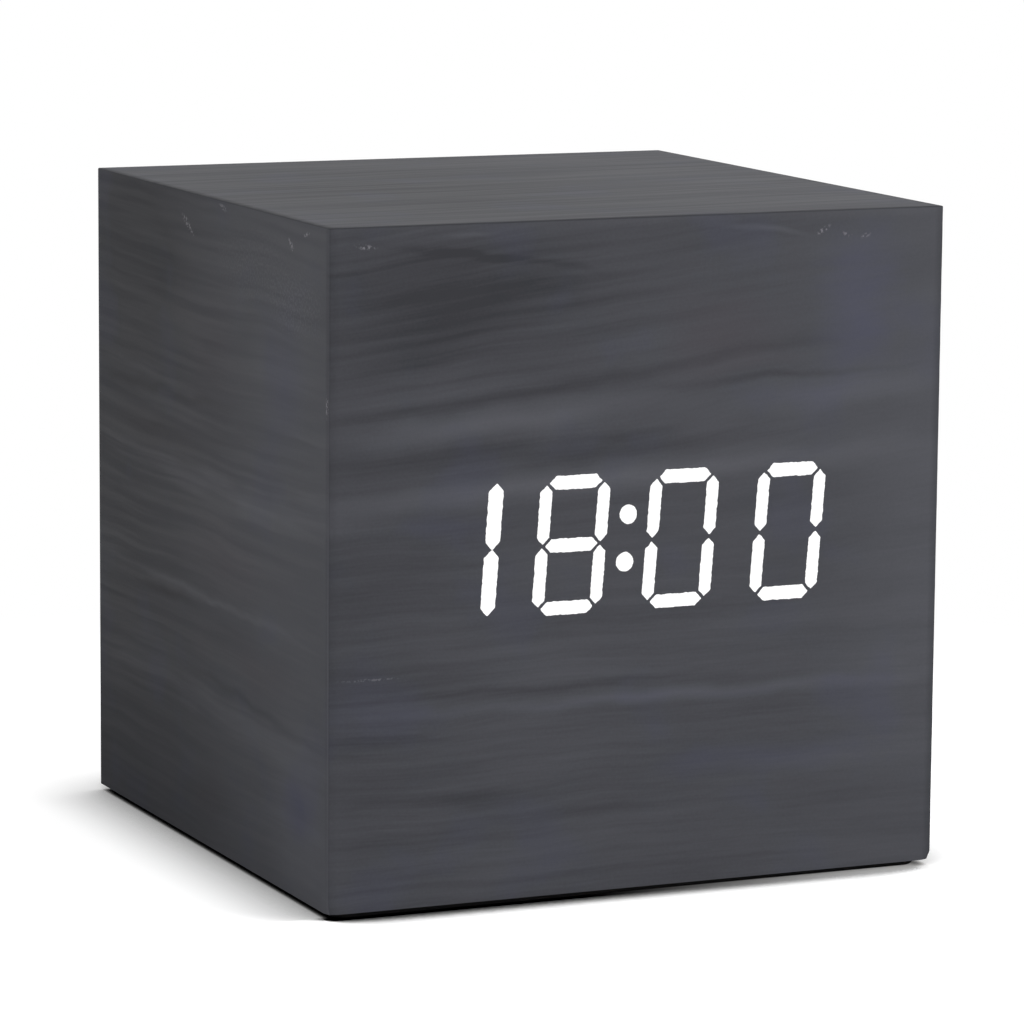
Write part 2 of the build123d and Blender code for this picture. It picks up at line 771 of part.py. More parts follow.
with BuildPart() as base_cover:
    with BuildSketch():
        RectangleRounded(case_width - 2 * base_inset, case_depth - 2 * base_inset, base_corner_radius)
    extrude(amount=base_drop)
    chamfer(base_cover.edges().group_by(Axis.Z)[0], base_edge_chamfer)
    plug_size = (inner_width - 2 * fit_gap, inner_depth - 2 * fit_gap)
    with BuildSketch(Plane.XY.offset(base_drop)):
        Rectangle(*plug_size)
    extrude(amount=base_plate - base_drop)
    with BuildSketch(Plane.XY.offset(base_plate)):
        Rectangle(*plug_size)
        Rectangle(plug_size[0] - 2 * rim_wall, plug_size[1] - 2 * rim_wall, mode=Mode.SUBTRACT)
    extrude(amount=rim_height)
    with BuildSketch(Plane.XY.offset(base_plate)):
        with GridLocations(*screw_spacing, 2, 2):
            Circle(screw_boss_radius)
    extrude(amount=screw_boss_height)
    with BuildSketch(side_plane(-bay_half_length - bay_wall)):
        draw_bay(channel_radius + bay_wall, bay_half_width + bay_wall, base_plate)
    extrude(amount=2 * (bay_half_length + bay_wall))
    # hollow of the bay, above the ledges at its two ends
    with BuildSketch(side_plane(-bay_half_length)):
        draw_bay(channel_radius, bay_half_width, ledge_top)
    extrude(amount=2 * bay_half_length, mode=Mode.SUBTRACT)
    with BuildSketch(Plane.XY.offset(base_plate)):
        Rectangle(2 * (bay_half_length - ledge_width), 2 * bay_half_width)
    extrude(amount=ledge_thickness + cut_over, mode=Mode.SUBTRACT)
    # opening for the door, with the groove that its snap springs into
    with BuildSketch(Plane.XY.offset(-cut_over)):
        RectangleRounded(opening_length, 2 * bay_half_width, door_corner_radius + fit_gap)
    extrude(amount=base_plate + cut_over, mode=Mode.SUBTRACT)
    with BuildSketch(Plane.XY.offset((base_plate - snap_height) / 2 - free_gap)):
        with Locations((0, -bay_half_width)):
            Rectangle(snap_width + 2 * free_gap, 2 * snap_groove)
    extrude(amount=snap_height + 2 * free_gap, mode=Mode.SUBTRACT)
    # slots in the bay's rear wall for the door's tabs
    with BuildSketch(Plane.XY.offset(base_plate)):
        with Locations(*[(side * tab_spacing / 2, bay_half_width + bay_wall / 2) for side in (-1, 1)]):
            Rectangle(tab_width + 2 * free_gap, bay_wall + free_gap)
    extrude(amount=tab_sweep + free_gap - base_plate, mode=Mode.SUBTRACT)
    # gaps in the ribs between the channels for the link contacts
    with BuildSketch(Plane.XY.offset(ledge_top)):
        link_gap = 2 * (contact_thickness + fit_gap)
        with Locations((bay_half_length, (cell_rows[0] + cell_rows[1]) / 2)):
            Rectangle(link_gap, channel_radius)
        with Locations((-bay_half_length, (cell_rows[1] + cell_rows[2]) / 2)):
            Rectangle(link_gap, channel_radius)
        Rectangle(2 * bay_half_length, 2 * bay_half_width, mode=Mode.INTERSECT)
    extrude(amount=contact_top + fit_gap - ledge_top, mode=Mode.SUBTRACT)
    # slots in the bay's roof for the solder tabs of the end contacts
    with BuildSketch(Plane.XY.offset(cell_axis + channel_radius - cut_over)):
        with Locations((-bay_half_length + contact_thickness / 2, cell_rows[0])):
            Rectangle(contact_thickness, contact_tab_width + 2 * fit_gap)
        with Locations((bay_half_length - contact_thickness / 2, cell_rows[-1])):
            Rectangle(contact_thickness, contact_tab_width + 2 * fit_gap)
    extrude(amount=bay_wall + 2 * cut_over, mode=Mode.SUBTRACT)
    # countersunk screw holes
    for place in GridLocations(*screw_spacing, 2, 2):
        x, y = place.position.X, place.position.Y
        with BuildSketch(Plane(origin=(x, y, 0), x_dir=(1, 0, 0), z_dir=(0, -1, 0))):
            draw_screw_hole(screw_radius + hole_gap, screw_head_radius + hole_gap)
        revolve(axis=Axis((x, y, 0), (0, 0, 1)), mode=Mode.SUBTRACT)
        with BuildSketch(Plane(origin=(x, y, -cut_over))):
            Circle(screw_head_radius + hole_gap)
        extrude(amount=cut_over + screw_recess, mode=Mode.SUBTRACT)
save(base_cover, "base_cover")

with BuildPart() as base_screws:
    for place in GridLocations(*screw_spacing, 2, 2):
        x, y = place.position.X, place.position.Y
        with BuildSketch(Plane(origin=(x, y, 0), x_dir=(1, 0, 0), z_dir=(0, -1, 0))):
            draw_screw_hole(screw_radius, screw_head_radius)
        revolve(axis=Axis((x, y, 0), (0, 0, 1)))
        with BuildSketch(Plane(origin=(x, y, screw_recess))):
            Rectangle(cross_length, cross_width)
            Rectangle(cross_width, cross_length)
        extrude(amount=cross_depth, mode=Mode.SUBTRACT)
save(base_screws, "base_screws")

# Battery door: it tilts on the edge of its opening, where two tabs hook behind the base plate
door_top = base_plate
door_half_width = bay_half_width - fit_gap
cell_rib_spacing = cell_length - 2 * cell_rib_inset
tab_low = base_plate + tab_lift
tab_high = tab_low + tab_thickness

with BuildPart() as battery_door:
    with BuildSketch(Plane.XY.offset(door_recess)):
        RectangleRounded(opening_length - 2 * fit_gap, 2 * door_half_width, door_corner_radius)
    extrude(amount=door_top - door_recess)
    # ribs that hold the cells, hollowed around each of them
    with BuildSketch(side_plane(0)):
        with Locations((0, door_top + cell_rib_rise / 2)):
            Rectangle(2 * (bay_half_width - cell_rib_end_gap), cell_rib_rise)
        with Locations(*[(y, cell_axis) for y in cell_rows]):
            Circle(channel_radius, mode=Mode.SUBTRACT)
    extrude(amount=(cell_rib_spacing + cell_rib) / 2, both=True)
    with BuildSketch(Plane.XY.offset(door_top)):
        Rectangle(cell_rib_spacing - cell_rib, 2 * bay_half_width)
    extrude(amount=cell_rib_rise, mode=Mode.SUBTRACT)
    # tabs that hook over the base plate
    for side in (-1, 1):
        with BuildSketch(side_plane(side * tab_spacing / 2)):
            with BuildLine():
                Polyline(
                    (door_half_width - tab_root, door_top),
                    (door_half_width, door_top),
                    (door_half_width, tab_low),
                    (bay_half_width + tab_reach, tab_low),
                    (bay_half_width + tab_reach, tab_high),
                    (door_half_width - tab_root, tab_high),
                    close=True,
                )
            make_face()
        extrude(amount=tab_width / 2, both=True)
    # snap tongue, free on both sides, with a low ridge on its edge
    with BuildSketch(Plane.XY.offset(door_recess - cut_over)):
        with Locations(
            *[
                (side * (tongue_width + tongue_slot) / 2, (tongue_length - cut_over) / 2 - door_half_width)
                for side in (-1, 1)
            ]
        ):
            Rectangle(tongue_slot, tongue_length + cut_over)
    extrude(amount=door_top - door_recess + 2 * cut_over, mode=Mode.SUBTRACT)
    with BuildSketch(Plane.XY.offset((base_plate - snap_height) / 2)):
        with Locations((0, -door_half_width)):
            Rectangle(snap_width, 2 * snap_reach)
    extrude(amount=snap_height)
    # ribbed finger grip
    with BuildSketch(Plane.XY.offset(door_recess)):
        with Locations((0, grip_inset - door_half_width)):
            SlotOverall(grip_length, grip_width)
            with GridLocations(0, grip_pitch, 1, 3):
                Rectangle(grip_length, grip_rib, mode=Mode.SUBTRACT)
    extrude(amount=grip_depth, mode=Mode.SUBTRACT)
save(battery_door, "battery_door")

# Cells: AAA size, they fill their channels and lie head to tail, so that the links join them in a row
cell_signs = (1, -1, 1)  # the end at which each cell has its nub

for number, (y, sign) in enumerate(zip(cell_rows, cell_signs), start=1):
    flat_end = sign * (contact_thickness + spring_length - bay_half_length)
    with BuildPart() as cell:
        with BuildSketch(Plane(origin=(flat_end, y, cell_axis), z_dir=(sign, 0, 0))):
            Circle(cell_radius)
        extrude(amount=cell_length - cell_nub)
        chamfer(cell.edges().filter_by(GeomType.CIRCLE), cell_edge_chamfer)
        with BuildSketch(Plane(origin=(flat_end, y, cell_axis), z_dir=(sign, 0, 0))):
            Circle(cell_nub_radius)
        extrude(amount=cell_length)
        nub_rim = cell.edges().filter_by(GeomType.CIRCLE).sort_by(Axis.X)[-1 if sign > 0 else 0]
        chamfer(nub_rim, cell_nub / 3)
    save(cell, f"cell_{number}")

# Contacts: sprung steel plates, with a pressed dimple for each nub and a conical spring for each flat end
coil_gaps = []


def spring_state(turn, side, y):
    """The place and direction of a conical spring's wire after so many turns, from its plate to the cell."""
    share = turn / spring_turns
    radius = spring_large_radius + (spring_small_radius - spring_large_radius) * share
    travel = spring_length - 2 * spring_wire_radius - 2 * hole_gap
    plate_face = side * (bay_half_length - contact_thickness)
    x = plate_face - side * (spring_wire_radius + hole_gap + travel * share)
    angle = 2 * pi * turn
    place = Vector(x, y + radius * cos(angle), cell_axis + radius * sin(angle))
    shrink = (spring_small_radius - spring_large_radius) / (2 * pi * spring_turns)
    heading = Vector(
        -side * travel / (2 * pi * spring_turns),
        shrink * cos(angle) - radius * sin(angle),
        shrink * sin(angle) + radius * cos(angle),
    )
    return place, heading.normalized()


def least_coil_gap(side, y):
    """The least gap between a spring's turns, measured on points along its wire."""
    steps = 24
    points = [spring_state(index / steps, side, y)[0] for index in range(spring_turns * steps + 1)]
    pairs = [(a, b) for i, a in enumerate(points) for b in points[i + steps // 2:]]
    return min((a - b).length for a, b in pairs) - 2 * spring_wire_radius


def add_spring(side, y):
    """A conical spring in the part that is open, as one tube along pairs of arcs of a quarter turn."""
    count = spring_turns * quarters
    states = [spring_state(index / quarters, side, y) for index in range(count + 1)]
    with BuildLine() as wire:
        for (start, start_heading), (end, end_heading) in zip(states, states[1:]):
            chord = end - start
            both = start_heading + end_heading
            spread = 2 * (1 - start_heading.dot(end_heading))
            reach = (sqrt(chord.dot(both) ** 2 + spread * chord.dot(chord)) - chord.dot(both)) / spread
            first = start + start_heading * reach
            second = end - end_heading * reach
            middle = (first + second) * 0.5
            TangentArc(start, middle, tangent=start_heading)
            TangentArc(middle, end, tangent=second - first)
    with BuildSketch(Plane(origin=states[0][0], z_dir=states[0][1])) as section:
        RegularPolygon(spring_wire_radius, spring_wire_sides)
    sweep(section.sketch, path=wire.wires()[0])
    coil_gaps.append(least_coil_gap(side, y))


def add_contact_plate(side, low_y, high_y):
    """A contact plate in the part that is open, flat against an end of the bay."""
    with BuildSketch(side_plane(side * bay_half_length)) as plate:
        with Locations(((low_y + high_y) / 2, (ledge_top + contact_top) / 2)):
            Rectangle(high_y - low_y + contact_width, contact_top - ledge_top)
    extrude(plate.sketch, amount=-side * contact_thickness)


def add_dimple(side, y):
    """A pressed dimple in the part that is open, which meets a cell's nub."""
    face = side * (bay_half_length - contact_thickness)
    with BuildSketch(Plane(origin=(face, y, cell_axis), z_dir=(-side, 0, 0))) as foot:
        Circle(dimple_radius)
    with BuildSketch(Plane(origin=(face - side * dimple_height, y, cell_axis), z_dir=(-side, 0, 0))) as crown:
        Circle(dimple_top_radius)
    loft([foot.sketch, crown.sketch])


def add_solder_tab(side, y):
    """A tab in the part that is open, up from a contact plate and through the bay's roof."""
    high = bay_top + contact_tab_proud
    with BuildSketch(side_plane(side * bay_half_length)) as tab:
        with Locations((y, (contact_top + high) / 2)):
            Rectangle(contact_tab_width, high - contact_top)
    extrude(tab.sketch, amount=-side * contact_thickness)


with BuildPart() as negative_contact:
    add_contact_plate(-1, cell_rows[0], cell_rows[0])
    add_solder_tab(-1, cell_rows[0])
    add_spring(-1, cell_rows[0])
save(negative_contact, "negative_contact")

with BuildPart() as positive_contact:
    add_contact_plate(1, cell_rows[2], cell_rows[2])
    add_solder_tab(1, cell_rows[2])
    add_dimple(1, cell_rows[2])
save(positive_contact, "positive_contact")

with BuildPart() as right_link_contact:
    add_contact_plate(1, cell_rows[0], cell_rows[1])
    add_dimple(1, cell_rows[0])
    add_spring(1, cell_rows[1])
save(right_link_contact, "right_link_contact")

with BuildPart() as left_link_contact:
    add_contact_plate(-1, cell_rows[1], cell_rows[2])
    add_dimple(-1, cell_rows[1])
    add_spring(-1, cell_rows[2])
save(left_link_contact, "left_link_contact")

print(f"least gap between a spring's turns: {min(coil_gaps):.3f}")


# Leads from the end contacts to the main board, and the flat cable from the key board
def arc_radii(points):
    """The largest arc for each corner: 0.45 of the shorter run, over the tangent of half the turn."""
    radii = []
    for before, corner, after in zip(points, points[1:], points[2:]):
        run_in = Vector(*corner) - Vector(*before)
        run_out = Vector(*after) - Vector(*corner)
        half_turn = radians(run_in.get_angle(run_out)) / 2
        radii.append(0.45 * min(run_in.length, run_out.length) / tan(half_turn))
    print("arc radii:", [round(radius, 2) for radius in radii])
    return radii


def lead(points):
    """A lead along a route, its round section drawn with a few sides."""
    with BuildPart() as wire:
        with BuildLine() as route:
            FilletPolyline(*points, radius=arc_radii(points))
        start = Vector(*points[0])
        with BuildSketch(Plane(origin=start, z_dir=Vector(*points[1]) - start)) as section:
            RegularPolygon(lead_wire_radius, lead_wire_sides)
        sweep(path=route.wires()[0])
        expected = route.wires()[0].length * section.sketch.area
        print(f"lead volume over section times length: {wire.part.volume / expected:.4f}")
    return wire


def between(start, end, shares):
    """A route from start to end, through points at shares of the way along each axis."""
    inner = [tuple(a + (b - a) * share for a, b, share in zip(start, end, row)) for row in shares]
    return [start] + inner + [end]


def on_board(shares):
    """A place on the face of the main board."""
    x, height = board_place(shares)
    return (x, main_board_back, height)


red_route_shares = (
    (0.40, 0.00, 0.00),
    (0.76, 0.10, 0.15),
    (0.93, 0.29, 0.46),
    (1.00, 0.53, 0.82),
    (1.00, 0.78, 1.00),
)
black_route_shares = (
    (0.37, 0.00, 0.00),
    (0.71, 0.11, 0.21),
    (0.95, 0.32, 0.60),
    (1.00, 0.64, 1.00),
)
solder_height = bay_top + contact_tab_proud - lead_solder_drop
red_start = (bay_half_length - contact_thickness, cell_rows[-1], solder_height)
black_start = (contact_thickness - bay_half_length, cell_rows[0], solder_height)

battery_lead_red = lead(between(red_start, on_board(red_lead_shares), red_route_shares))
save(battery_lead_red, "battery_lead_red")

battery_lead_black = lead(between(black_start, on_board(black_lead_shares), black_route_shares))
save(battery_lead_black, "battery_lead_black")

# Each row: the share of the way to the main board, of the change of level, and of the arch's rise
cable_route_shares = (
    (0.00, 0.00, 0.00),
    (0.16, 0.00, 0.00),
    (0.34, 0.20, 0.55),
    (0.57, 0.50, 0.90),
    (0.78, 0.80, 0.40),
    (0.87, 1.00, 0.00),
    (1.00, 1.00, 0.00),
)
cable_high = wood_low + rear_height
cable_x, cable_end = board_place(cable_shares)
cable_way = main_board_back - key_board_back
cable_route = [
    (key_board_back + cable_way * way, cable_high + (cable_end - cable_high) * level + cable_rise * arch)
    for way, level, arch in cable_route_shares
]

with BuildPart() as key_cable:
    with BuildSketch(side_plane(cable_x)):
        with BuildLine():
            FilletPolyline(*cable_route, radius=arc_radii(cable_route))
        trace(line_width=cable_thickness)
    extrude(amount=cable_width / 2, both=True)
save(key_cable, "key_cable")
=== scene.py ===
"""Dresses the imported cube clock: a folded case in black wood-grain film, its lit digits and what it holds.

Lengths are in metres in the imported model's frame: the front faces -Y, +X is right and +Z is up.
"""
from math import atan, cos, pi, radians, sin, sqrt

import bmesh
import bpy
from mathutils import Matrix, Vector, noise


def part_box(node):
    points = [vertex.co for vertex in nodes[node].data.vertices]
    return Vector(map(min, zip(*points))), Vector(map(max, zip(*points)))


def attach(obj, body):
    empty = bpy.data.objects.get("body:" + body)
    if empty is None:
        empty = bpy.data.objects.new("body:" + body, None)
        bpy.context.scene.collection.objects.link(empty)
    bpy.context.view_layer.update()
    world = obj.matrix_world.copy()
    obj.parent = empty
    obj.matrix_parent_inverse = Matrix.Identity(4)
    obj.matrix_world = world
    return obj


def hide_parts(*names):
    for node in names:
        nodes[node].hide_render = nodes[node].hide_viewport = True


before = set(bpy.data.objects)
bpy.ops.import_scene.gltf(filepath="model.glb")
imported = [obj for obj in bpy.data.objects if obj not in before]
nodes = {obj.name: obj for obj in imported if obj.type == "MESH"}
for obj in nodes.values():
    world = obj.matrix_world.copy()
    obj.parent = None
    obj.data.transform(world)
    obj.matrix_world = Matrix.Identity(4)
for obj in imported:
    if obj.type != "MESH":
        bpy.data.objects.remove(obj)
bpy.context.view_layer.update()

scene = bpy.context.scene
mm = 0.001


# The photographer's camera: a long lens from the front left, a little above the clock and almost level.
# Its place and turn are solved from the corners of the case in the photograph.
camera_place = Vector((-0.20214, -0.45742, 0.11113))
camera_turn = radians(23.917)  # to the right
camera_dip = radians(9.061)
camera_roll = radians(0.458)
camera_lens = 182.18
film_gate = 36.0

camera_data = bpy.data.cameras.new("camera")
camera_data.lens = camera_lens
camera_data.sensor_width = film_gate
camera_data.sensor_fit = "HORIZONTAL"
camera_data.clip_start = 10 * mm
camera = bpy.data.objects.new("camera", camera_data)
turn = Matrix.Rotation(-camera_turn, 4, "Z")
tilt = Matrix.Rotation(radians(90) - camera_dip, 4, "X")
roll = Matrix.Rotation(camera_roll, 4, "Z")
camera.matrix_world = Matrix.Translation(camera_place) @ turn @ tilt @ roll
scene.collection.objects.link(camera)
scene.camera = camera
scene.view_settings.view_transform = "Standard"


# The studio: a white table under a white sky, a large soft box overhead and one on each side in front.
# The table stays white to the camera and keeps the clock's soft shadow from the lamps; round the clock's foot
# the camera also sees a painted contact shadow.
def linear(code):
    """The linear colour of an sRGB hex code."""
    parts = [int(code[place:place + 2], 16) / 255 for place in (1, 3, 5)]
    curved = [part / 12.92 if part <= 0.04045 else ((part + 0.055) / 1.055) ** 2.4 for part in parts]
    return (*curved, 1.0)


def add_node(tree, kind, *inputs, **settings):
    """Adds a node. Its inputs are given in order, or as one dict that says which socket takes which.

    Each is a value, another node's output, or another node, which then stands for its first live output.
    """
    node = tree.nodes.new(kind)
    for name, value in settings.items():
        setattr(node, name, value)
    given_as_dict = inputs and isinstance(inputs[0], dict)
    sockets = inputs[0] if given_as_dict else dict(enumerate(inputs))
    for name, value in sockets.items():
        if isinstance(value, bpy.types.Node):
            value = next(output for output in value.outputs if output.enabled)
        if isinstance(value, bpy.types.NodeSocket):
            tree.links.new(value, node.inputs[name])
        else:
            node.inputs[name].default_value = value
    return node


def start_material(name):
    """A new material with an empty tree."""
    material = bpy.data.materials.new(name)
    material.use_nodes = True
    material.node_tree.nodes.clear()
    return material, material.node_tree


def object_point(tree):
    """The output that holds a surface point's place in the model's own frame."""
    return add_node(tree, "ShaderNodeTexCoord").outputs["Object"]


def white_rays(tree):
    """1 for the rays that should meet plain white: the camera's, and what gloss and glass send out."""
    path = add_node(tree, "ShaderNodeLightPath").outputs
    seen = add_node(tree, "ShaderNodeMath", path["Is Camera Ray"], path["Is Glossy Ray"],
                    operation="MAXIMUM")
    return add_node(tree, "ShaderNodeMath", seen, path["Is Transmission Ray"], operation="MAXIMUM")


sky_level = 0.2
table_boost = 0.72  # what the camera sees of the table beyond the light that falls on it
shadow_reach = 75 * mm  # of the part of the table that keeps the shadow
white_reach = 130 * mm  # where it has turned plain white
contact_reach = 9 * mm  # how far out of the clock's foot the table is darkened
case_half = 31 * mm  # half of the clock's width and depth
far_side_boost = 1.3  # how much darker the foot's shadow is at the clock's left end
covered_limits = (0.49, 0.26)  # in front: how covered a point is where it gets no light, and all of it
right_paling = 0.3  # how much light is left in the foot's shadow at the clock's right end
front_fade = (2 * mm, 1.2 * mm)  # how far behind the clock's front the front's own shadow sets in
end_fade = (2 * mm, 0.6 * mm)  # and how far short of its right end that shadow stops

sky = bpy.data.worlds.new("studio_sky")
sky.use_nodes = True
sky.node_tree.nodes.clear()
tree = sky.node_tree
plain = add_node(tree, "ShaderNodeBackground", {"Color": linear("#ffffff"), "Strength": sky_level})
white = add_node(tree, "ShaderNodeBackground", {"Color": linear("#ffffff"), "Strength": 1.0})
either = add_node(tree, "ShaderNodeMixShader", white_rays(tree), plain, white)
add_node(tree, "ShaderNodeOutputWorld", {"Surface": either})
scene.world = sky

table_material, tree = start_material("white_table")
point = object_point(tree)
split = add_node(tree, "ShaderNodeSeparateXYZ", {"Vector": point})
# A painted contact shadow: the camera sees the table darkened by how closely the clock's foot covers it,
# deeper at its left end, paler at its right and darker in front.
open_share = add_node(tree, "ShaderNodeAmbientOcclusion", {"Distance": contact_reach}, samples=16)
covered = add_node(tree, "ShaderNodeMath", 1.0, open_share.outputs["AO"], operation="SUBTRACT")
depth = add_node(tree, "ShaderNodeMapRange", split.outputs["X"], -case_half, case_half, far_side_boost, 1.0,
                 interpolation_type="SMOOTHSTEP")
deepened = add_node(tree, "ShaderNodeMath", covered, depth, operation="MULTIPLY")
beside = add_node(tree, "ShaderNodeMath", 1.0, deepened, operation="SUBTRACT", use_clamp=True)
before = add_node(tree, "ShaderNodeMapRange", covered, *covered_limits, interpolation_type="SMOOTHSTEP")
paler = add_node(tree, "ShaderNodeMapRange", split.outputs["X"], -5 * mm, case_half, 0.0, right_paling,
                 interpolation_type="SMOOTHSTEP")
before = add_node(tree, "ShaderNodeMath", before, paler, operation="MAXIMUM")
in_front = add_node(tree, "ShaderNodeMapRange", split.outputs["Y"],
                    *[inside - case_half for inside in front_fade], interpolation_type="SMOOTHSTEP")
short_of_end = add_node(tree, "ShaderNodeMapRange", split.outputs["X"],
                        *[case_half - short for short in end_fade], 1.0, 0.0,
                        interpolation_type="SMOOTHSTEP")
in_front = add_node(tree, "ShaderNodeMath", in_front, short_of_end, operation="MULTIPLY")
light = add_node(tree, "ShaderNodeMix", {0: in_front, 2: beside, 3: before})
camera_ray = add_node(tree, "ShaderNodeLightPath").outputs["Is Camera Ray"]
boost = add_node(tree, "ShaderNodeMath", camera_ray, table_boost, operation="MULTIPLY")
paint = add_node(tree, "ShaderNodeBsdfDiffuse", {"Color": linear("#f4f4f4")})
glow = add_node(tree, "ShaderNodeEmission", {"Color": linear("#ffffff"), "Strength": boost})
near_white = add_node(tree, "ShaderNodeAddShader", paint, glow)
away = add_node(tree, "ShaderNodeVectorMath", point, operation="LENGTH")
faded = add_node(tree, "ShaderNodeMapRange", away, shadow_reach, white_reach,
                 interpolation_type="SMOOTHSTEP")
far = add_node(tree, "ShaderNodeMath", faded, white_rays(tree), operation="MULTIPLY")
far_white = add_node(tree, "ShaderNodeEmission", {"Color": linear("#ffffff"), "Strength": 1.0})
lit = add_node(tree, "ShaderNodeMixShader", far, near_white, far_white)
dark = add_node(tree, "ShaderNodeEmission", {"Strength": 0.0})
dimmed = add_node(tree, "ShaderNodeMath", 1.0, light, operation="SUBTRACT")
shadow = add_node(tree, "ShaderNodeMath", dimmed, camera_ray, operation="MULTIPLY")
both = add_node(tree, "ShaderNodeMixShader", shadow, lit, dark)
add_node(tree, "ShaderNodeOutputMaterial", {"Surface": both})

table_reach = 3.0  # each way, in metres
table_mesh = bpy.data.meshes.new("table")
corners = [(-table_reach, -table_reach, 0), (table_reach, -table_reach, 0),
           (table_reach, table_reach, 0), (-table_reach, table_reach, 0)]
table_mesh.from_pydata(corners, [], [(0, 1, 2, 3)])
table_mesh.materials.append(table_material)
table = bpy.data.objects.new("table", table_mesh)
scene.collection.objects.link(table)


def add_soft_box(name, place, target, size, power):
    """A square soft box that faces a point on the clock."""
    lamp = bpy.data.lights.new(name, "AREA")
    lamp.shape = "SQUARE"
    lamp.size = size
    lamp.energy = power
    holder = bpy.data.objects.new(name, lamp)
    holder.visible_camera = False
    aim = (Vector(target) - Vector(place)).to_track_quat("-Z", "Y")
    holder.matrix_world = Matrix.Translation(place) @ aim.to_matrix().to_4x4()
    scene.collection.objects.link(holder)


clock_middle = (0, 0, 0.032)
add_soft_box("overhead_box", (0.1, -0.05, 0.9), clock_middle, 0.7, 1.35)
add_soft_box("right_box", (0.3, -0.24, 0.2), clock_middle, 0.2, 1.2)
add_soft_box("left_box", (-0.14, -0.2, 0.12), (-0.035, -0.03, 0.03), 0.1, 0.16)


# The case panels: fibreboard, V-grooved and folded up, so that only its raw lower edges ever show.
# Pressed wood fibre gives a warm brown with fine light and dark flecks and a dry surface.
def finish_node(name, material):
    """Gives a CAD node its material."""
    nodes[name].material_slots[0].material = material


fibre_length = 0.9 * mm

fibreboard, tree = start_material("fibreboard_raw")
point = object_point(tree)
flecks = add_node(tree, "ShaderNodeTexNoise", {"Vector": point, "Scale": 1 / fibre_length, "Detail": 6.0})
shade = add_node(tree, "ShaderNodeValToRGB", {"Fac": flecks})
shade.color_ramp.elements[0].position = 0.35
shade.color_ramp.elements[0].color = linear("#7d6246")
shade.color_ramp.elements[1].position = 0.68
shade.color_ramp.elements[1].color = linear("#b99c74")
relief = add_node(tree, "ShaderNodeBump", {"Height": flecks, "Distance": 0.05 * mm, "Strength": 0.6})
body = add_node(tree, "ShaderNodeBsdfPrincipled", {"Base Color": shade, "Roughness": 0.85, "IOR": 1.45,
                                                   "Normal": relief})
add_node(tree, "ShaderNodeOutputMaterial", {"Surface": body})
for name in ("front_panel", "left_panel", "right_panel", "top_panel", "back_panel"):
    finish_node(name, fibreboard)


# The corner blocks: sawn softwood, glued in the lower corners to take the base screws.
# The saw leaves pale wood with straight darker lines of late growth.
ring_width = 1.6 * mm  # the dark lines lie 2 pi times this apart, about 10 mm

block_wood, tree = start_material("softwood_sawn")
point = object_point(tree)
rings = add_node(tree, "ShaderNodeTexWave", {"Vector": point, "Scale": 0.05 / ring_width,
                                             "Distortion": 3.0, "Detail": 3.0}, bands_direction="Y")
shade = add_node(tree, "ShaderNodeValToRGB", {"Fac": rings.outputs["Fac"]})
shade.color_ramp.elements[0].color = linear("#b58a5a")
shade.color_ramp.elements[1].color = linear("#dcc096")
body = add_node(tree, "ShaderNodeBsdfPrincipled", {"Base Color": shade, "Roughness": 0.7, "IOR": 1.45})
add_node(tree, "ShaderNodeOutputMaterial", {"Surface": body})
finish_node("corner_blocks", block_wood)


# The lit bars and dots of the display: light that comes through the film, cut as sharply as the wells behind.
# The film's fibres leave the edges of the light a little uneven and its corners a little soft.
edge_step = 0.06 * mm
light_stretch = 1.045  # the lit bars in the photograph are this much taller than the wells
edge_wobble = 0.05 * mm
wobble_length = 0.5 * mm
weld_distance = 0.001 * mm  # points nearer than this count as one


def start_shape_tree(name, **inputs):
    """A new Geometry Nodes tree: inputs lists the names of its inputs for each kind, such as Float."""
    tree = bpy.data.node_groups.new(name, "GeometryNodeTree")
    for way in ("INPUT", "OUTPUT"):
        tree.interface.new_socket(name="Geometry", in_out=way, socket_type="NodeSocketGeometry")
    for kind, names in dict(inputs, Material=["Material"]).items():
        for socket_name in names:
            tree.interface.new_socket(name=socket_name, in_out="INPUT", socket_type="NodeSocket" + kind)
    return tree, add_node(tree, "NodeGroupInput").outputs


def close_shape_tree(tree, shape, material):
    """Ends a Geometry Nodes tree: the shape is made plain geometry and takes its material."""
    whole = add_node(tree, "GeometryNodeRealizeInstances", {"Geometry": shape})
    dressed = add_node(tree, "GeometryNodeSetMaterial", {"Geometry": whole, "Material": material})
    add_node(tree, "NodeGroupOutput", {"Geometry": dressed})


def run_shape_tree(tree, start, values):
    """Runs a Geometry Nodes tree on a mesh and returns the result as a plain mesh."""
    holder = bpy.data.objects.new(tree.name, start)
    scene.collection.objects.link(holder)
    modifier = holder.modifiers.new(tree.name, "NODES")
    modifier.node_group = tree
    for item in tree.interface.items_tree:
        if item.name in values:
            modifier[item.identifier] = values[item.name]
    mesh = bpy.data.meshes.new_from_object(holder.evaluated_get(bpy.context.evaluated_depsgraph_get()))
    holder.modifiers.remove(modifier)
    bpy.data.objects.remove(holder)
    return mesh


def place_piece(name, mesh, body_name, slot_name, *stands_for):
    """Puts a finished mesh in the scene as a piece that rides on a body and stands for CAD nodes."""
    mesh.name = name
    piece = bpy.data.objects.new(name, mesh)
    scene.collection.objects.link(piece)
    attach(piece, body_name)
    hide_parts(*stands_for)
    return piece


def merged_copy(name):
    """A copy of a CAD node's mesh with its loose triangles joined."""
    shape = bmesh.new()
    shape.from_mesh(nodes[name].data)
    bmesh.ops.remove_doubles(shape, verts=shape.verts, dist=weld_distance)
    return shape


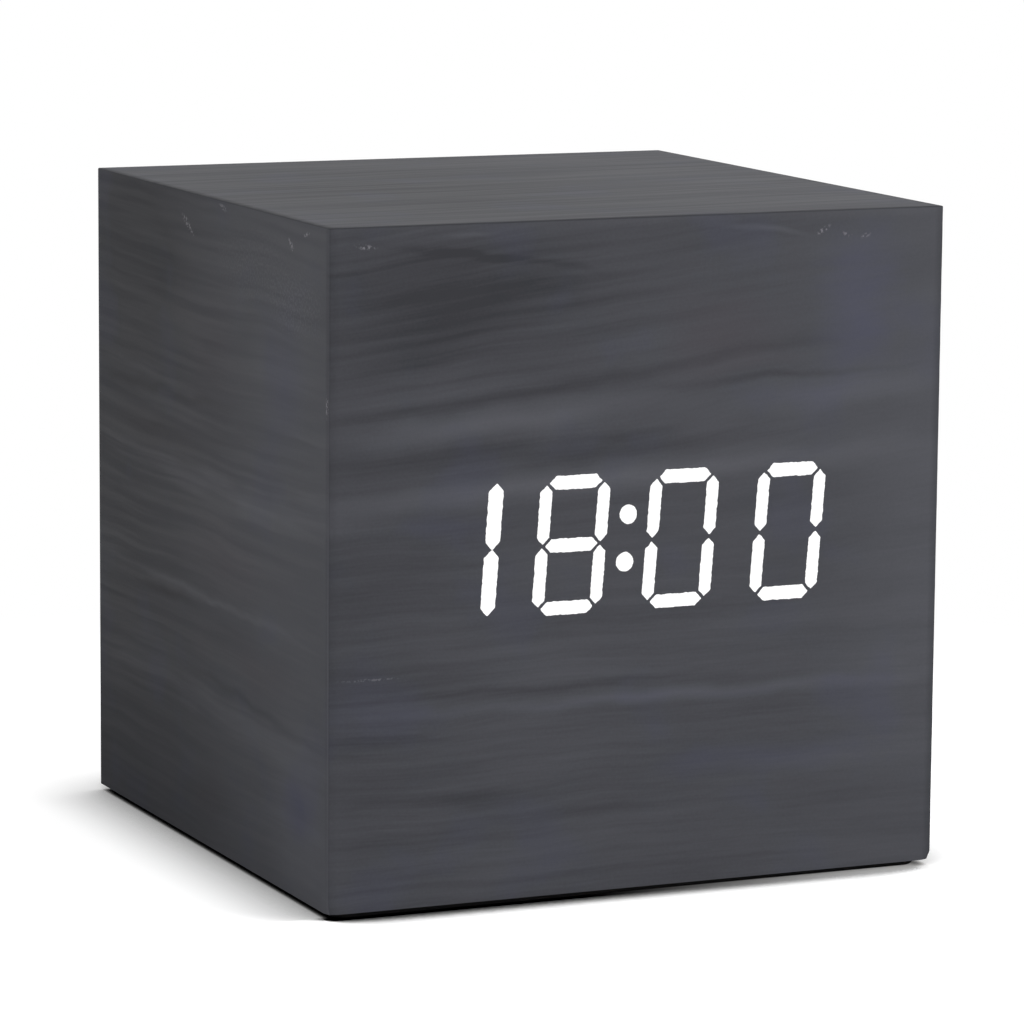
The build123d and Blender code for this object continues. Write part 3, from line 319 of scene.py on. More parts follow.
def front_outlines(name):
    """The front faces of a CAD node alone, laid flat: x stays and height becomes y."""
    shape = merged_copy(name)
    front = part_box(name)[0][1]
    behind = [face for face in shape.faces if abs(face.calc_center_median().y - front) > 0.01 * mm]
    bmesh.ops.delete(shape, geom=behind, context="FACES")
    bmesh.ops.dissolve_limit(shape, angle_limit=radians(1), verts=shape.verts, edges=shape.edges)
    shape.transform(Matrix(((1, 0, 0, 0), (0, 0, 1, 0), (0, 1, 0, -front), (0, 0, 0, 1))))
    bmesh.ops.recalc_face_normals(shape, faces=shape.faces)
    mesh = bpy.data.meshes.new(name + "_outline")
    shape.to_mesh(mesh)
    shape.free()
    return mesh


# A tree that cuts a slab with soft, slightly uneven edges from flat outlines, between two depths
light_tree, given = start_shape_tree("light_slab", Float=("Stretch", "Step", "Wobble", "Wobble length",
                                                          "Front", "Depth"))
taller = add_node(light_tree, "GeometryNodeScaleElements", {"Geometry": given["Geometry"],
                                                            "Scale": given["Stretch"], "Axis": (0, 1, 0)},
                  scale_mode="SINGLE_AXIS")
single = add_node(light_tree, "GeometryNodeInputMeshEdgeNeighbors")
is_border = add_node(light_tree, "FunctionNodeCompare", {2: single, 3: 1}, data_type="INT",
                     operation="EQUAL")
borders = add_node(light_tree, "GeometryNodeMeshToCurve", {"Mesh": taller, "Selection": is_border})
beads = add_node(light_tree, "GeometryNodeResampleCurve", {"Curve": borders, "Length": given["Step"]},
                 mode="LENGTH")
where = add_node(light_tree, "GeometryNodeInputPosition")
softened = add_node(light_tree, "GeometryNodeBlurAttribute", {"Iterations": 1, "Value": where},
                    data_type="FLOAT_VECTOR")
grit = add_node(light_tree, "ShaderNodeMath", 1.0, given["Wobble length"], operation="DIVIDE")
unevenness = add_node(light_tree, "ShaderNodeTexNoise", {"Vector": where, "Scale": grit, "Detail": 2.0})
centred = add_node(light_tree, "ShaderNodeVectorMath", unevenness.outputs["Color"], (0.5, 0.5, 0.5),
                   operation="SUBTRACT")
reach = add_node(light_tree, "ShaderNodeMath", given["Wobble"], 4.0, operation="MULTIPLY")
push = add_node(light_tree, "ShaderNodeVectorMath", {0: centred, "Scale": reach}, operation="SCALE")
flat = add_node(light_tree, "ShaderNodeVectorMath", push, (1, 1, 0), operation="MULTIPLY")
moved = add_node(light_tree, "GeometryNodeSetPosition", {"Geometry": beads, "Position": softened,
                                                         "Offset": flat})
filled = add_node(light_tree, "GeometryNodeFillCurve", {"Curve": moved})
lift = add_node(light_tree, "ShaderNodeCombineXYZ", {"Z": given["Front"]})
raised = add_node(light_tree, "GeometryNodeTransform", {"Geometry": filled, "Translation": lift})
across = add_node(light_tree, "ShaderNodeCombineXYZ", {"Z": given["Depth"]})
walls = add_node(light_tree, "GeometryNodeExtrudeMesh", {"Mesh": raised, "Offset": across,
                                                         "Offset Scale": 1.0, "Individual": False})
flipped = add_node(light_tree, "GeometryNodeFlipFaces", {"Mesh": raised})
slab = add_node(light_tree, "GeometryNodeJoinGeometry", {"Geometry": walls})
light_tree.links.new(flipped.outputs["Mesh"], slab.inputs["Geometry"])
closed = add_node(light_tree, "GeometryNodeMergeByDistance", {"Geometry": slab, "Distance": weld_distance})
close_shape_tree(light_tree, closed, given["Material"])

film_thickness = 0.3 * mm
light_outline = front_outlines("lit_segments")
display_front = float(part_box("lit_segments")[0][1])

lit_film, tree = start_material("film_lit_from_behind")
point = object_point(tree)
mottle = add_node(tree, "ShaderNodeTexNoise", {"Vector": point, "Scale": 1 / (0.8 * mm), "Detail": 3.0})
level = add_node(tree, "ShaderNodeMapRange", {"Value": mottle, "To Min": 1.0, "To Max": 1.2})
glow = add_node(tree, "ShaderNodeEmission", {"Color": linear("#ffffff"), "Strength": level})
add_node(tree, "ShaderNodeOutputMaterial", {"Surface": glow})


def stand_up(mesh):
    """Turns a flat-laid mesh upright again: its y becomes height and its depth runs into the case."""
    mesh.transform(Matrix(((1, 0, 0, 0), (0, 0, 1, display_front), (0, 1, 0, 0), (0, 0, 0, 1))))
    mesh.flip_normals()
    return mesh


light_sizes = {"Stretch": light_stretch, "Step": edge_step, "Wobble": edge_wobble,
               "Wobble length": wobble_length, "Front": 0.0, "Depth": film_thickness, "Material": lit_film}
lit_mesh = stand_up(run_shape_tree(light_tree, light_outline, light_sizes))
place_piece("glowing_digits", lit_mesh, "case", "lit_film", "lit_segments")


# The wrap: one sheet of film with a printed and embossed black wood grain, folded round the front, the
# sides and the top.
# Its folds are almost sharp, scuffed here and there, and uneven where the mitre at the top right was sawn.
fold_radius = 0.14 * mm
fold_rows = 2
sheet_step = 0.8 * mm
foot_round = (0.22 * mm, 0.8 * mm)  # how the lower corners are worn: across and up
sawn_wobble = 0.09 * mm  # less than the fold's radius, or the film's thickness would turn inside out
fold_wobble = 0.03 * mm
wear_length = 1.1 * mm  # of the unevenness along a fold
drift_length = 3.4 * mm  # of its slower rise and fall
wrap_low, wrap_high = [Vector(corner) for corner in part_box("film_wrap")]


def sheet_lines(low, high, low_fold, high_fold):
    """Grid lines across one direction of the case, close together at a fold and even elsewhere."""
    lines = []
    start, end = low, high
    if low_fold:
        lines += [low + fold_radius * row / fold_rows for row in range(fold_rows)]
        start = low + fold_radius
    if high_fold:
        end = high - fold_radius
    count = round((end - start) / sheet_step)
    lines += [start + (end - start) * index / count for index in range(count + 1)]
    if high_fold:
        lines += [high - fold_radius * row / fold_rows for row in reversed(range(fold_rows))]
    return lines


line_x = sheet_lines(wrap_low.x, wrap_high.x, True, True)
line_y = sheet_lines(wrap_low.y, wrap_high.y, True, False)
line_z = sheet_lines(wrap_low.z, wrap_high.z, False, True)
inner_low = Vector((wrap_low.x + fold_radius, wrap_low.y + fold_radius, wrap_low.z))
inner_high = Vector((wrap_high.x - fold_radius, wrap_high.y, wrap_high.z - fold_radius))


def folded(x, y, z):
    """A point of the sharp-edged case, moved onto its rounded and worn folds."""
    inner = Vector((min(max(x, inner_low.x), inner_high.x), min(max(y, inner_low.y), inner_high.y),
                    min(max(z, inner_low.z), inner_high.z)))
    out = Vector((x, y, z)) - inner
    if out.length == 0:
        return inner
    folds = sum(abs(part) > 0 for part in out)
    place = inner + out.normalized() * fold_radius
    if folds > 1:
        grain = noise.noise(Vector((x, y, z)) / wear_length)
        fine = noise.noise(Vector((y, z, x)) / drift_length)
        sawn = x > 0 and z > inner_high.z and y > inner_low.y
        depth = sawn_wobble if sawn else fold_wobble
        place -= out.normalized() * depth * max(0.0, 0.5 + 0.5 * grain + 0.4 * fine)
    up = max(0.0, 1 - (z - wrap_low.z) / foot_round[1])
    corner = out.x != 0 and out.y < 0 and abs(out.x) > 0.5 * fold_radius
    if corner or (abs(x) > inner_high.x - weld_distance and y < inner_low.y):
        ease = 1 - sqrt(max(0.0, 1 - up * up))
        place.x -= foot_round[0] * ease * (1 if x > 0 else -1)
        place.y += foot_round[0] * ease
    return place


wrap = bmesh.new()
sheet_uv = wrap.loops.layers.uv.new("sheet")
fold_share = wrap.verts.layers.float.new("fold")
spots = {}


def spot(x, y, z):
    """The one vertex at a grid point of the sheet."""
    key = (round(x / mm, 4), round(y / mm, 4), round(z / mm, 4))
    if key not in spots:
        spots[key] = wrap.verts.new(folded(x, y, z))
        beyond = (x < inner_low.x) + (x > inner_high.x) + (y < inner_low.y) + (z > inner_high.z)
        spots[key][fold_share] = float(beyond > 1 and not (x < inner_low.x and z < inner_high.z))
    return spots[key]


def add_sheet_side(across, up, place, unfold, turned):
    """One side of the sheet as a grid, with the sheet's flat coordinates on each corner."""
    for a, b in zip(across, across[1:]):
        for c, d in zip(up, up[1:]):
            corners = [(a, c), (b, c), (b, d), (a, d)]
            if turned:
                corners.reverse()
            face = wrap.faces.new([spot(*place(u, v)) for u, v in corners])
            for loop, (u, v) in zip(face.loops, corners):
                loop[sheet_uv].uv = unfold(u, v)


add_sheet_side(line_x, line_z, lambda u, v: (u, wrap_low.y, v), lambda u, v: (u, v), False)
add_sheet_side(line_y, line_z, lambda u, v: (wrap_high.x, u, v),
               lambda u, v: (wrap_high.x + u - wrap_low.y, v), False)
add_sheet_side(line_y, line_z, lambda u, v: (wrap_low.x, u, v),
               lambda u, v: (wrap_low.x - u + wrap_low.y, v), True)
add_sheet_side(line_x, line_y, lambda u, v: (u, v, wrap_high.z),
               lambda u, v: (u, wrap_high.z + v - wrap_low.y), False)

wrap_mesh = bpy.data.meshes.new("wood_film")
wrap.to_mesh(wrap_mesh)
wrap.free()
for face in wrap_mesh.polygons:
    face.use_smooth = True

cutter_sizes = dict(light_sizes, Front=-0.2 * mm, Depth=film_thickness + 0.4 * mm)
cutter_mesh = stand_up(run_shape_tree(light_tree, light_outline, cutter_sizes))
cutter = bpy.data.objects.new("light_cutter", cutter_mesh)
scene.collection.objects.link(cutter)

# How the grain lies on the sheet: level on the left and low on the front, climbing to the right higher up.
# Its print is made of broad figure, finer streaks and short fibres, all drawn out along the grain.
grain_rise = 0.1
rise_levels = (18 * mm, 52 * mm)
grain_sway = 1.4 * mm
sway_length = 26 * mm
ripple_height = 2.2 * mm  # how much the edges of the streaks and stains wave
ripple_length = 8 * mm
figure_width = 5.0 * mm
streak_width = 0.9 * mm
fibre_width = 0.2 * mm  # drawn a little coarser than the real fibres, so that they show
grit_width = 0.3 * mm
patch_width = 11.0 * mm
streak_share = 0.42  # how far each part of the grain swings the tone, of the way from dark to pale
fibre_share = 0.12
figure_share = 0.4
grit_share = 0.14
middle_tone = 0.42
left_contrast = 0.22  # of the grain's full swing, on the left side
top_contrast = 0.15
high_contrast = 0.45  # on the upper part of the front and sides
calm_levels = (28 * mm, 52 * mm)  # between which the grain calms down upwards
# The left side is painted darker towards the back and lighter near the front, as painted shade and painted
# light.
side_painted_shade_depths = (56 * mm, 2 * mm)  # how far behind the front the left side is painted darkest, and lightest
side_painted_shade_tones = (-0.28, 0.42)
crease_share = 0.45  # how much of the bare dark print shows in a fold
# Streaks and stains of the print, and patches of painted light and shade, in millimetres on the unfolded
# sheet, whose front runs from -31 to 31:
# the middle, half length, half height, slope, how much lighter, and how blue (or, below 0, how warm)
print_marks_and_painted_light = (
    (-15.0, 60.1, 14.0, 0.6, -0.14, -0.3, 0.0),
    (-19.0, 55.5, 20.0, 8.0, 0.0, -0.39, 0.0),
    (-9.0, 57.0, 9.0, 1.2, 0.05, -0.15, 0.0),
    (-17.5, 62.3, 4.0, 0.4, 0.04, 0.25, 0.0),
    (12.6, 61.5, 6.0, 0.45, -0.12, 0.3, 0.0),
    (-8.0, 48.1, 34.0, 1.0, 0.12, -0.26, 0.0),
    (15.0, 48.0, 17.0, 0.6, 0.035, -0.22, 0.0),
    (11.0, 49.4, 13.0, 1.0, 0.1, 0.1, -0.4),
    (-15.0, 45.0, 25.0, 1.8, 0.09, 0.38, 0.0),
    (19.0, 46.2, 18.0, 2.2, 0.05, 0.26, 0.3),
    (-6.0, 42.2, 26.0, 1.7, 0.03, -0.26, 0.0),
    (-4.0, 39.3, 46.0, 1.7, 0.045, 0.42, 0.0),
    (-20.0, 35.6, 14.0, 1.4, 0.02, -0.12, 0.3),
    (-10.0, 20.3, 28.0, 0.7, 0.01, -0.22, 0.0),
    (2.0, 18.6, 40.0, 1.0, 0.0, 0.32, 0.4),
    (-24.0, 16.5, 10.0, 0.6, 0.0, -0.18, 0.0),
    (-17.0, 10.4, 9.0, 1.6, 0.0, -0.2, 0.0),
    (-3.0, 8.3, 9.0, 1.0, 0.0, -0.14, 0.0),
    (14.0, 12.0, 17.0, 2.4, 0.0, 0.06, 0.7),
    (21.5, 54.5, 6.0, 9.0, 0.0, 0.1, 0.9),
    (8.0, 52.0, 9.0, 6.0, 0.0, -0.06, -0.8),
    # painted shade on the front's left part, and painted light on its right part
    (-30.0, 30.0, 20.0, 46.0, 0.0, -0.17, 0.0),
    (30.0, 32.0, 16.0, 48.0, 0.0, 0.2, 0.1),
    (-72.0, 43.4, 24.0, 0.9, 0.02, -0.3, 0.0),
    (-62.0, 48.0, 14.0, 10.0, 0.0, -0.04, -0.6),
    (-56.0, 29.0, 20.0, 5.0, 0.0, 0.02, -0.7),
    (-52.0, 20.0, 18.0, 4.0, 0.0, 0.02, -0.7),
    # painted light low on the left side near the front
    (-38.0, 8.0, 10.0, 16.0, 0.0, 0.32, 0.1),
    # painted shade high on the left side towards the back
    (-80.0, 56.0, 18.0, 12.0, 0.0, -0.44, 0.0),
    (-80.0, 45.0, 12.0, 0.8, 0.02, 0.16, 0.0),
    (-76.0, 39.4, 20.0, 2.4, 0.0, -0.24, -0.3),
    (-58.0, 36.1, 40.0, 1.7, 0.0, 0.42, -0.2),
    (-42.0, 48.0, 8.0, 10.0, 0.0, 0.06, 0.9),
    (-61.0, 24.8, 34.0, 0.6, -0.01, 0.38, 0.0),
    (-73.0, 23.6, 13.0, 0.8, 0.0, -0.25, -0.3),
    (-58.0, 14.5, 38.0, 2.0, -0.03, 0.34, 0.0),
    (-50.0, 16.4, 24.0, 0.7, -0.07, -0.28, 0.0),
    (-63.0, 5.7, 13.0, 3.2, 0.0, -0.2, -0.5),
    (-38.0, 9.5, 7.0, 5.0, 0.0, 0.1, 1.0),
    # painted shade over the left and middle of the top
    (-12.0, 92.0, 34.0, 50.0, 0.0, -0.35, 0.0),
    # a painted highlight: a thin light line down the fold between the front and the left side
    (-31.2, 22.0, 0.24, 28.0, 0.0, 0.45, 0.0))
# Scuffs and specks: middle, half length, half height, slope and how much paler
scuffs = (
    (-27.0, 22.0, 3.2, 0.14, 0.0, 0.22),
    (18.4, 61.5, 0.9, 0.3, 0.5, 0.45),
    (20.9, 61.0, 0.7, 0.22, -0.3, 0.4),
    (22.8, 60.8, 0.6, 0.25, 0.2, 0.4),
    (-27.5, 61.3, 1.2, 0.3, 0.0, 0.4),
    (-67.2, 60.2, 2.2, 0.45, -0.5, 0.5),
    (-57.7, 62.7, 1.3, 0.3, -0.2, 0.5),
    (-40.3, 60.8, 1.0, 0.35, -0.9, 0.7),
    (-36.5, 62.4, 1.0, 0.3, 0.4, 0.6),
    (-31.5, 47.0, 0.4, 1.2, 0.0, 0.8),
    (-39.0, 55.5, 8.0, 3.4, 0.0, 0.08),
    (-50.0, 58.0, 12.0, 4.0, 0.0, 0.05))


def film_shader(tree, flat_place, fold_share):
    """The film's surface: flat_place is where a point lies on the unfolded sheet, in metres."""
    def centred(noise):
        """How far a noise lies above or below its middle value."""
        return add_node(tree, "ShaderNodeMath", noise, 0.5, operation="SUBTRACT")

    split = add_node(tree, "ShaderNodeSeparateXYZ", {"Vector": flat_place})
    along, up = split.outputs["X"], split.outputs["Y"]
    sway = add_node(tree, "ShaderNodeTexNoise", {"Vector": flat_place, "Scale": 1 / sway_length,
                                                 "Detail": 2.0})
    rise = add_node(tree, "ShaderNodeMapRange", up, *rise_levels, 0.0, -grain_rise,
                    interpolation_type="SMOOTHSTEP")
    beyond = add_node(tree, "ShaderNodeMath", along, wrap_low.x, operation="SUBTRACT")
    past_fold = add_node(tree, "ShaderNodeMath", beyond, 0.0, operation="MAXIMUM")
    climb = add_node(tree, "ShaderNodeMath", past_fold, rise, operation="MULTIPLY")
    swing = add_node(tree, "ShaderNodeMath", sway, 2 * grain_sway, climb, operation="MULTIPLY_ADD")
    level = add_node(tree, "ShaderNodeMath", up, swing, operation="ADD")
    ripple = add_node(tree, "ShaderNodeTexNoise", {"Vector": flat_place, "Scale": 1 / ripple_length})
    rippled = add_node(tree, "ShaderNodeMath", centred(ripple), ripple_height, up, operation="MULTIPLY_ADD")
    bent_place = add_node(tree, "ShaderNodeCombineXYZ", {"X": along, "Y": rippled})

    def grain(share, width, detail, seed):
        """Noise drawn out along the grain: share is how much shorter it is across than along."""
        x = add_node(tree, "ShaderNodeMath", along, share / width, operation="MULTIPLY")
        y = add_node(tree, "ShaderNodeMath", level, 1 / width, operation="MULTIPLY")
        place = add_node(tree, "ShaderNodeCombineXYZ", {"X": x, "Y": y, "Z": seed})
        return add_node(tree, "ShaderNodeTexNoise", {"Vector": place, "Scale": 1.0, "Detail": detail,
                                                     "Roughness": 0.55})

    def mark(x, y, half_length, half_height, slope, low, high, rough, rough_share):
        """1 in a long, slanted mark on the sheet, falling to 0 outside it, with an edge that noise breaks."""
        spread = {"Vector": bent_place, "Location": (x * mm, y * mm, 0), "Rotation": (0, 0, atan(slope)),
                  "Scale": (half_length * mm, half_height * mm, 1)}
        spot = add_node(tree, "ShaderNodeMapping", spread, vector_type="TEXTURE")
        reach = add_node(tree, "ShaderNodeVectorMath", spot, operation="LENGTH")
        value = add_node(tree, "ShaderNodeMath", rough, rough_share, reach, operation="MULTIPLY_ADD")
        return add_node(tree, "ShaderNodeMapRange", value, low, high, 1.0, 0.0,
                        interpolation_type="SMOOTHSTEP")

    figure = grain(0.2, figure_width, 3.0, 3.1)
    streaks = grain(0.035, streak_width, 3.0, 7.7)
    fibres = grain(0.06, fibre_width, 1.0, 11.3)
    grit = add_node(tree, "ShaderNodeTexNoise", {"Vector": flat_place, "Scale": 1 / grit_width,
                                                 "Detail": 2.0})
    on_left = add_node(tree, "ShaderNodeMapRange", along, wrap_low.x - 4 * mm, wrap_low.x, left_contrast,
                       1.0, interpolation_type="SMOOTHSTEP")
    on_top = add_node(tree, "ShaderNodeMapRange", up, wrap_high.z - 0.5 * mm, wrap_high.z + 0.5 * mm, 1.0,
                      top_contrast, interpolation_type="SMOOTHSTEP")
    calm = add_node(tree, "ShaderNodeMapRange", up, *calm_levels, 1.0, high_contrast,
                    interpolation_type="SMOOTHSTEP")
    contrast = add_node(tree, "ShaderNodeMath", on_left, on_top, operation="MULTIPLY")
    contrast = add_node(tree, "ShaderNodeMath", contrast, calm, operation="MULTIPLY")
    tone = add_node(tree, "ShaderNodeMath", centred(streaks), streak_share, operation="MULTIPLY")
    tone = add_node(tree, "ShaderNodeMath", centred(fibres), fibre_share, tone, operation="MULTIPLY_ADD")
    tone = add_node(tree, "ShaderNodeMath", tone, contrast, operation="MULTIPLY")
    shape = add_node(tree, "ShaderNodeMath", centred(figure), on_top, operation="MULTIPLY")
    tone = add_node(tree, "ShaderNodeMath", shape, figure_share, tone, operation="MULTIPLY_ADD")
    tone = add_node(tree, "ShaderNodeMath", centred(grit), grit_share, tone, operation="MULTIPLY_ADD")
    # the left side gets painted shade towards the back and painted light near the front
    side_painted_light = add_node(tree, "ShaderNodeMapRange", along, *[wrap_low.x - depth for depth in side_painted_shade_depths],
                       *side_painted_shade_tones, interpolation_type="SMOOTHSTEP")
    leftwards = add_node(tree, "ShaderNodeMapRange", along, wrap_low.x - 0.1 * mm, wrap_low.x + 0.1 * mm,
                         1.0, 0.0, interpolation_type="SMOOTHSTEP")
    tone = add_node(tree, "ShaderNodeMath", side_painted_light, leftwards, tone, operation="MULTIPLY_ADD")
    patches = add_node(tree, "ShaderNodeTexNoise", {"Vector": flat_place, "Scale": 1 / patch_width,
                                                    "Detail": 3.0})
    blue = add_node(tree, "ShaderNodeMapRange", patches, 0.45, 0.7, -0.15, 0.35,
                    interpolation_type="SMOOTHSTEP")
    for *place, lift, cool_share in print_marks_and_painted_light:
        inside = mark(*place, 0.1, 1.4, streaks, 0.6)
        tone = add_node(tree, "ShaderNodeMath", inside, lift, tone, operation="MULTIPLY_ADD")
        if cool_share:
            blue = add_node(tree, "ShaderNodeMath", inside, cool_share, blue, operation="MULTIPLY_ADD")
    level = add_node(tree, "ShaderNodeMath", tone, middle_tone, operation="ADD")
    shade = add_node(tree, "ShaderNodeValToRGB", {"Fac": level})
    shade.color_ramp.elements[0].position = 0.0
    shade.color_ramp.elements[0].color = linear("#303135")
    shade.color_ramp.elements[1].position = 1.0
    shade.color_ramp.elements[1].color = linear("#58595f")
    cooled = add_node(tree, "ShaderNodeMath", blue, 0.4, operation="MULTIPLY", use_clamp=True)
    cool = add_node(tree, "ShaderNodeMix", {0: cooled, 6: shade, 7: linear("#454660")}, data_type="RGBA")
    warmed = add_node(tree, "ShaderNodeMath", blue, -0.35, operation="MULTIPLY", use_clamp=True)
    warm = add_node(tree, "ShaderNodeMix", {0: warmed, 6: cool, 7: linear("#484146")}, data_type="RGBA")
    worn = 0.0
    speck = add_node(tree, "ShaderNodeMapRange", grit, 0.46, 0.6, interpolation_type="SMOOTHSTEP")
    for *place, lift in scuffs:
        broken = add_node(tree, "ShaderNodeMath", mark(*place, 0.5, 1.4, fibres, 0.6), speck,
                          operation="MULTIPLY")
        worn = add_node(tree, "ShaderNodeMath", broken, lift, worn, operation="MULTIPLY_ADD")
    pale = add_node(tree, "ShaderNodeMix", {0: worn, 6: warm, 7: linear("#96949a")}, data_type="RGBA")
    creased = add_node(tree, "ShaderNodeMath", fold_share, crease_share, operation="MULTIPLY")
    pale = add_node(tree, "ShaderNodeMix", {0: creased, 6: pale, 7: linear("#1f2023")}, data_type="RGBA")
    gloss = add_node(tree, "ShaderNodeMapRange", streaks, 0.3, 0.7, 0.52, 0.62,
                     interpolation_type="SMOOTHSTEP")
    height = add_node(tree, "ShaderNodeMath", grit, 0.6, fibres, operation="MULTIPLY_ADD")
    relief = add_node(tree, "ShaderNodeBump", {"Height": height, "Distance": 0.012 * mm, "Strength": 0.4})
    coat = add_node(tree, "ShaderNodeBsdfPrincipled", {"Base Color": pale, "Roughness": gloss, "IOR": 1.5,
                                                       "Specular IOR Level": 0.1, "Normal": relief})
    add_node(tree, "ShaderNodeOutputMaterial", {"Surface": coat})


wood_film, tree = start_material("wood_grain_film")
sheet = add_node(tree, "ShaderNodeUVMap", uv_map="sheet")
fold = add_node(tree, "ShaderNodeAttribute", attribute_name="fold")
film_shader(tree, sheet, fold.outputs["Fac"])
wrap_mesh.materials.append(wood_film)
wrap_piece = bpy.data.objects.new("wood_film", wrap_mesh)
scene.collection.objects.link(wrap_piece)
thicken = wrap_piece.modifiers.new("thickness", "SOLIDIFY")
thicken.thickness = film_thickness
thicken.offset = -1.0
open_display = wrap_piece.modifiers.new("display", "BOOLEAN")
open_display.operation = "DIFFERENCE"
open_display.solver = "EXACT"
open_display.object = cutter
cut_film = wrap_piece.evaluated_get(bpy.context.evaluated_depsgraph_get())
film_mesh = bpy.data.meshes.new_from_object(cut_film)
bpy.data.objects.remove(wrap_piece)
bpy.data.objects.remove(cutter)
for vertex in film_mesh.vertices:
    vertex.co.y = min(vertex.co.y, wrap_high.y)
film_mesh.set_sharp_from_angle(angle=radians(50))
place_piece("wood_film", film_mesh, "case", "film", "film_wrap")


# The back film: a second sheet of the same film, laid flat on the back panel and cut out round the bezel.
# Its grain lies level too, and is read from a part of the print that the folded sheet doesn't use.
back_print = 160 * mm
back_film, tree = start_material("wood_grain_film_back")
split = add_node(tree, "ShaderNodeSeparateXYZ", {"Vector": object_point(tree)})
mirrored = add_node(tree, "ShaderNodeMath", back_print, split.outputs["X"], operation="SUBTRACT")
flat_place = add_node(tree, "ShaderNodeCombineXYZ", {"X": mirrored, "Y": split.outputs["Z"], "Z": 0.05})
film_shader(tree, flat_place, 0.0)
finish_node("back_film", back_film)


# The display behind the film: a diffusing sheet, then a moulding whose wells hold clear resin over the LEDs.
# The sheet is matt grey, the moulding black, and the cast resin is glassy with a slight haze.
def speckled(name, dark, light, grain_size, roughness, ior, relief_depth, metallic=0.0):
    """A material with two close shades mixed by a fine grain, which also roughens the surface."""
    material, tree = start_material(name)
    point = object_point(tree)
    grit = add_node(tree, "ShaderNodeTexNoise", {"Vector": point, "Scale": 1 / grain_size, "Detail": 4.0})
    shade = add_node(tree, "ShaderNodeValToRGB", {"Fac": grit})
    shade.color_ramp.elements[0].position = 0.35
    shade.color_ramp.elements[0].color = linear(dark)
    shade.color_ramp.elements[1].position = 0.65
    shade.color_ramp.elements[1].color = linear(light)
    gloss = add_node(tree, "ShaderNodeMapRange", grit, 0.3, 0.7, roughness - 0.06, roughness + 0.06,
                     interpolation_type="SMOOTHSTEP")
    relief = add_node(tree, "ShaderNodeBump", {"Height": grit, "Distance": relief_depth, "Strength": 0.5})
    sockets = {"Base Color": shade, "Roughness": gloss, "Metallic": metallic, "Normal": relief}
    if not metallic:
        sockets["IOR"] = ior
    surface = add_node(tree, "ShaderNodeBsdfPrincipled", sockets)
    add_node(tree, "ShaderNodeOutputMaterial", {"Surface": surface})
    return material


def surface_sockets(material):
    """The inputs of a material's surface, for what one material has and its like don't."""
    return material.node_tree.nodes["Principled BSDF"].inputs


diffuser = speckled("polycarbonate_diffuser", "#d9dade", "#eceef2", 0.3 * mm, 0.55, 1.58, 0.01 * mm)
finish_node("display_filter", diffuser)

moulded_black = speckled("abs_moulded_black", "#09090a", "#111113", 0.35 * mm, 0.55, 1.53, 0.02 * mm)
finish_node("display_housing", moulded_black)

cast_resin = speckled("epoxy_cast_clear", "#e9edf0", "#f6f8fa", 0.9 * mm, 0.15, 1.5, 0.01 * mm)
surface_sockets(cast_resin)["Transmission Weight"].default_value = 0.6
finish_node("segment_fill", cast_resin)


# The LED chips: one small white package in each well, with a yellow phosphor window in its face.
# The package is moulded, and the window's silicone is matt and slightly domed.
def islands(name):
    """The low and high corners of each separate solid of a CAD node."""
    shape = merged_copy(name)
    left = set(shape.verts)
    boxes = []
    while left:
        front = [left.pop()]
        found = list(front)
        while front:
            for edge in front.pop().link_edges:
                for vertex in edge.verts:
                    if vertex in left:
                        left.remove(vertex)
                        front.append(vertex)
                        found.append(vertex)
        low = Vector([min(vertex.co[axis] for vertex in found) for axis in range(3)])
        high = Vector([max(vertex.co[axis] for vertex in found) for axis in range(3)])
        boxes.append((low, high))
    shape.free()
    return sorted(boxes, key=lambda pair: tuple(pair[0]))


# A tree that sets one master piece out at given points, each turned about one axis
copies_tree, given = start_shape_tree("set_out", Object=["Master"], Vector=["Axis"], Float=["Loose turn"],
                                      Int=["Seed"])
master = add_node(copies_tree, "GeometryNodeObjectInfo", {"Object": given["Master"]})
set_turn = add_node(copies_tree, "GeometryNodeInputNamedAttribute", {"Name": "turn"}, data_type="FLOAT")
loose = add_node(copies_tree, "FunctionNodeRandomValue", {"Seed": given["Seed"]}, data_type="FLOAT")
extra = add_node(copies_tree, "ShaderNodeMath", loose, given["Loose turn"], set_turn,
                 operation="MULTIPLY_ADD")
spin = add_node(copies_tree, "ShaderNodeVectorMath", {0: given["Axis"], "Scale": extra}, operation="SCALE")
copies = add_node(copies_tree, "GeometryNodeInstanceOnPoints",
                  {"Points": given["Geometry"], "Instance": master.outputs["Geometry"], "Rotation": spin})
close_shape_tree(copies_tree, copies, given["Material"])


def set_out(name, shape, places, axis, material, loose_turn=0.0, seed=1):
    """One mesh with a copy of a shape at each place; a place is a point and a turn about the axis."""
    master_mesh = bpy.data.meshes.new(name + "_master")
    shape.to_mesh(master_mesh)
    shape.free()
    master_piece = bpy.data.objects.new(name + "_master", master_mesh)
    scene.collection.objects.link(master_piece)
    points = bpy.data.meshes.new(name + "_points")
    points.from_pydata([place for place, turn in places], [], [])
    turns = points.attributes.new("turn", "FLOAT", "POINT")
    turns.data.foreach_set("value", [turn for place, turn in places])
    values = {"Master": master_piece, "Axis": Vector(axis), "Loose turn": loose_turn, "Seed": seed,
              "Material": material}
    mesh = run_shape_tree(copies_tree, points, values)
    bpy.data.objects.remove(master_piece)
    return mesh


def ring_walls(shape, rings, close_ends=True):
    """Joins rings of vertices into a wall, and closes the first and last of them."""
    count = len(rings[0])
    for lower, upper in zip(rings, rings[1:]):
        for index in range(count):
            ahead = (index + 1) % count
            shape.faces.new((lower[index], lower[ahead], upper[ahead], upper[index]))
    if close_ends:
        shape.faces.new(reversed(rings[0]))
        shape.faces.new(rings[-1])


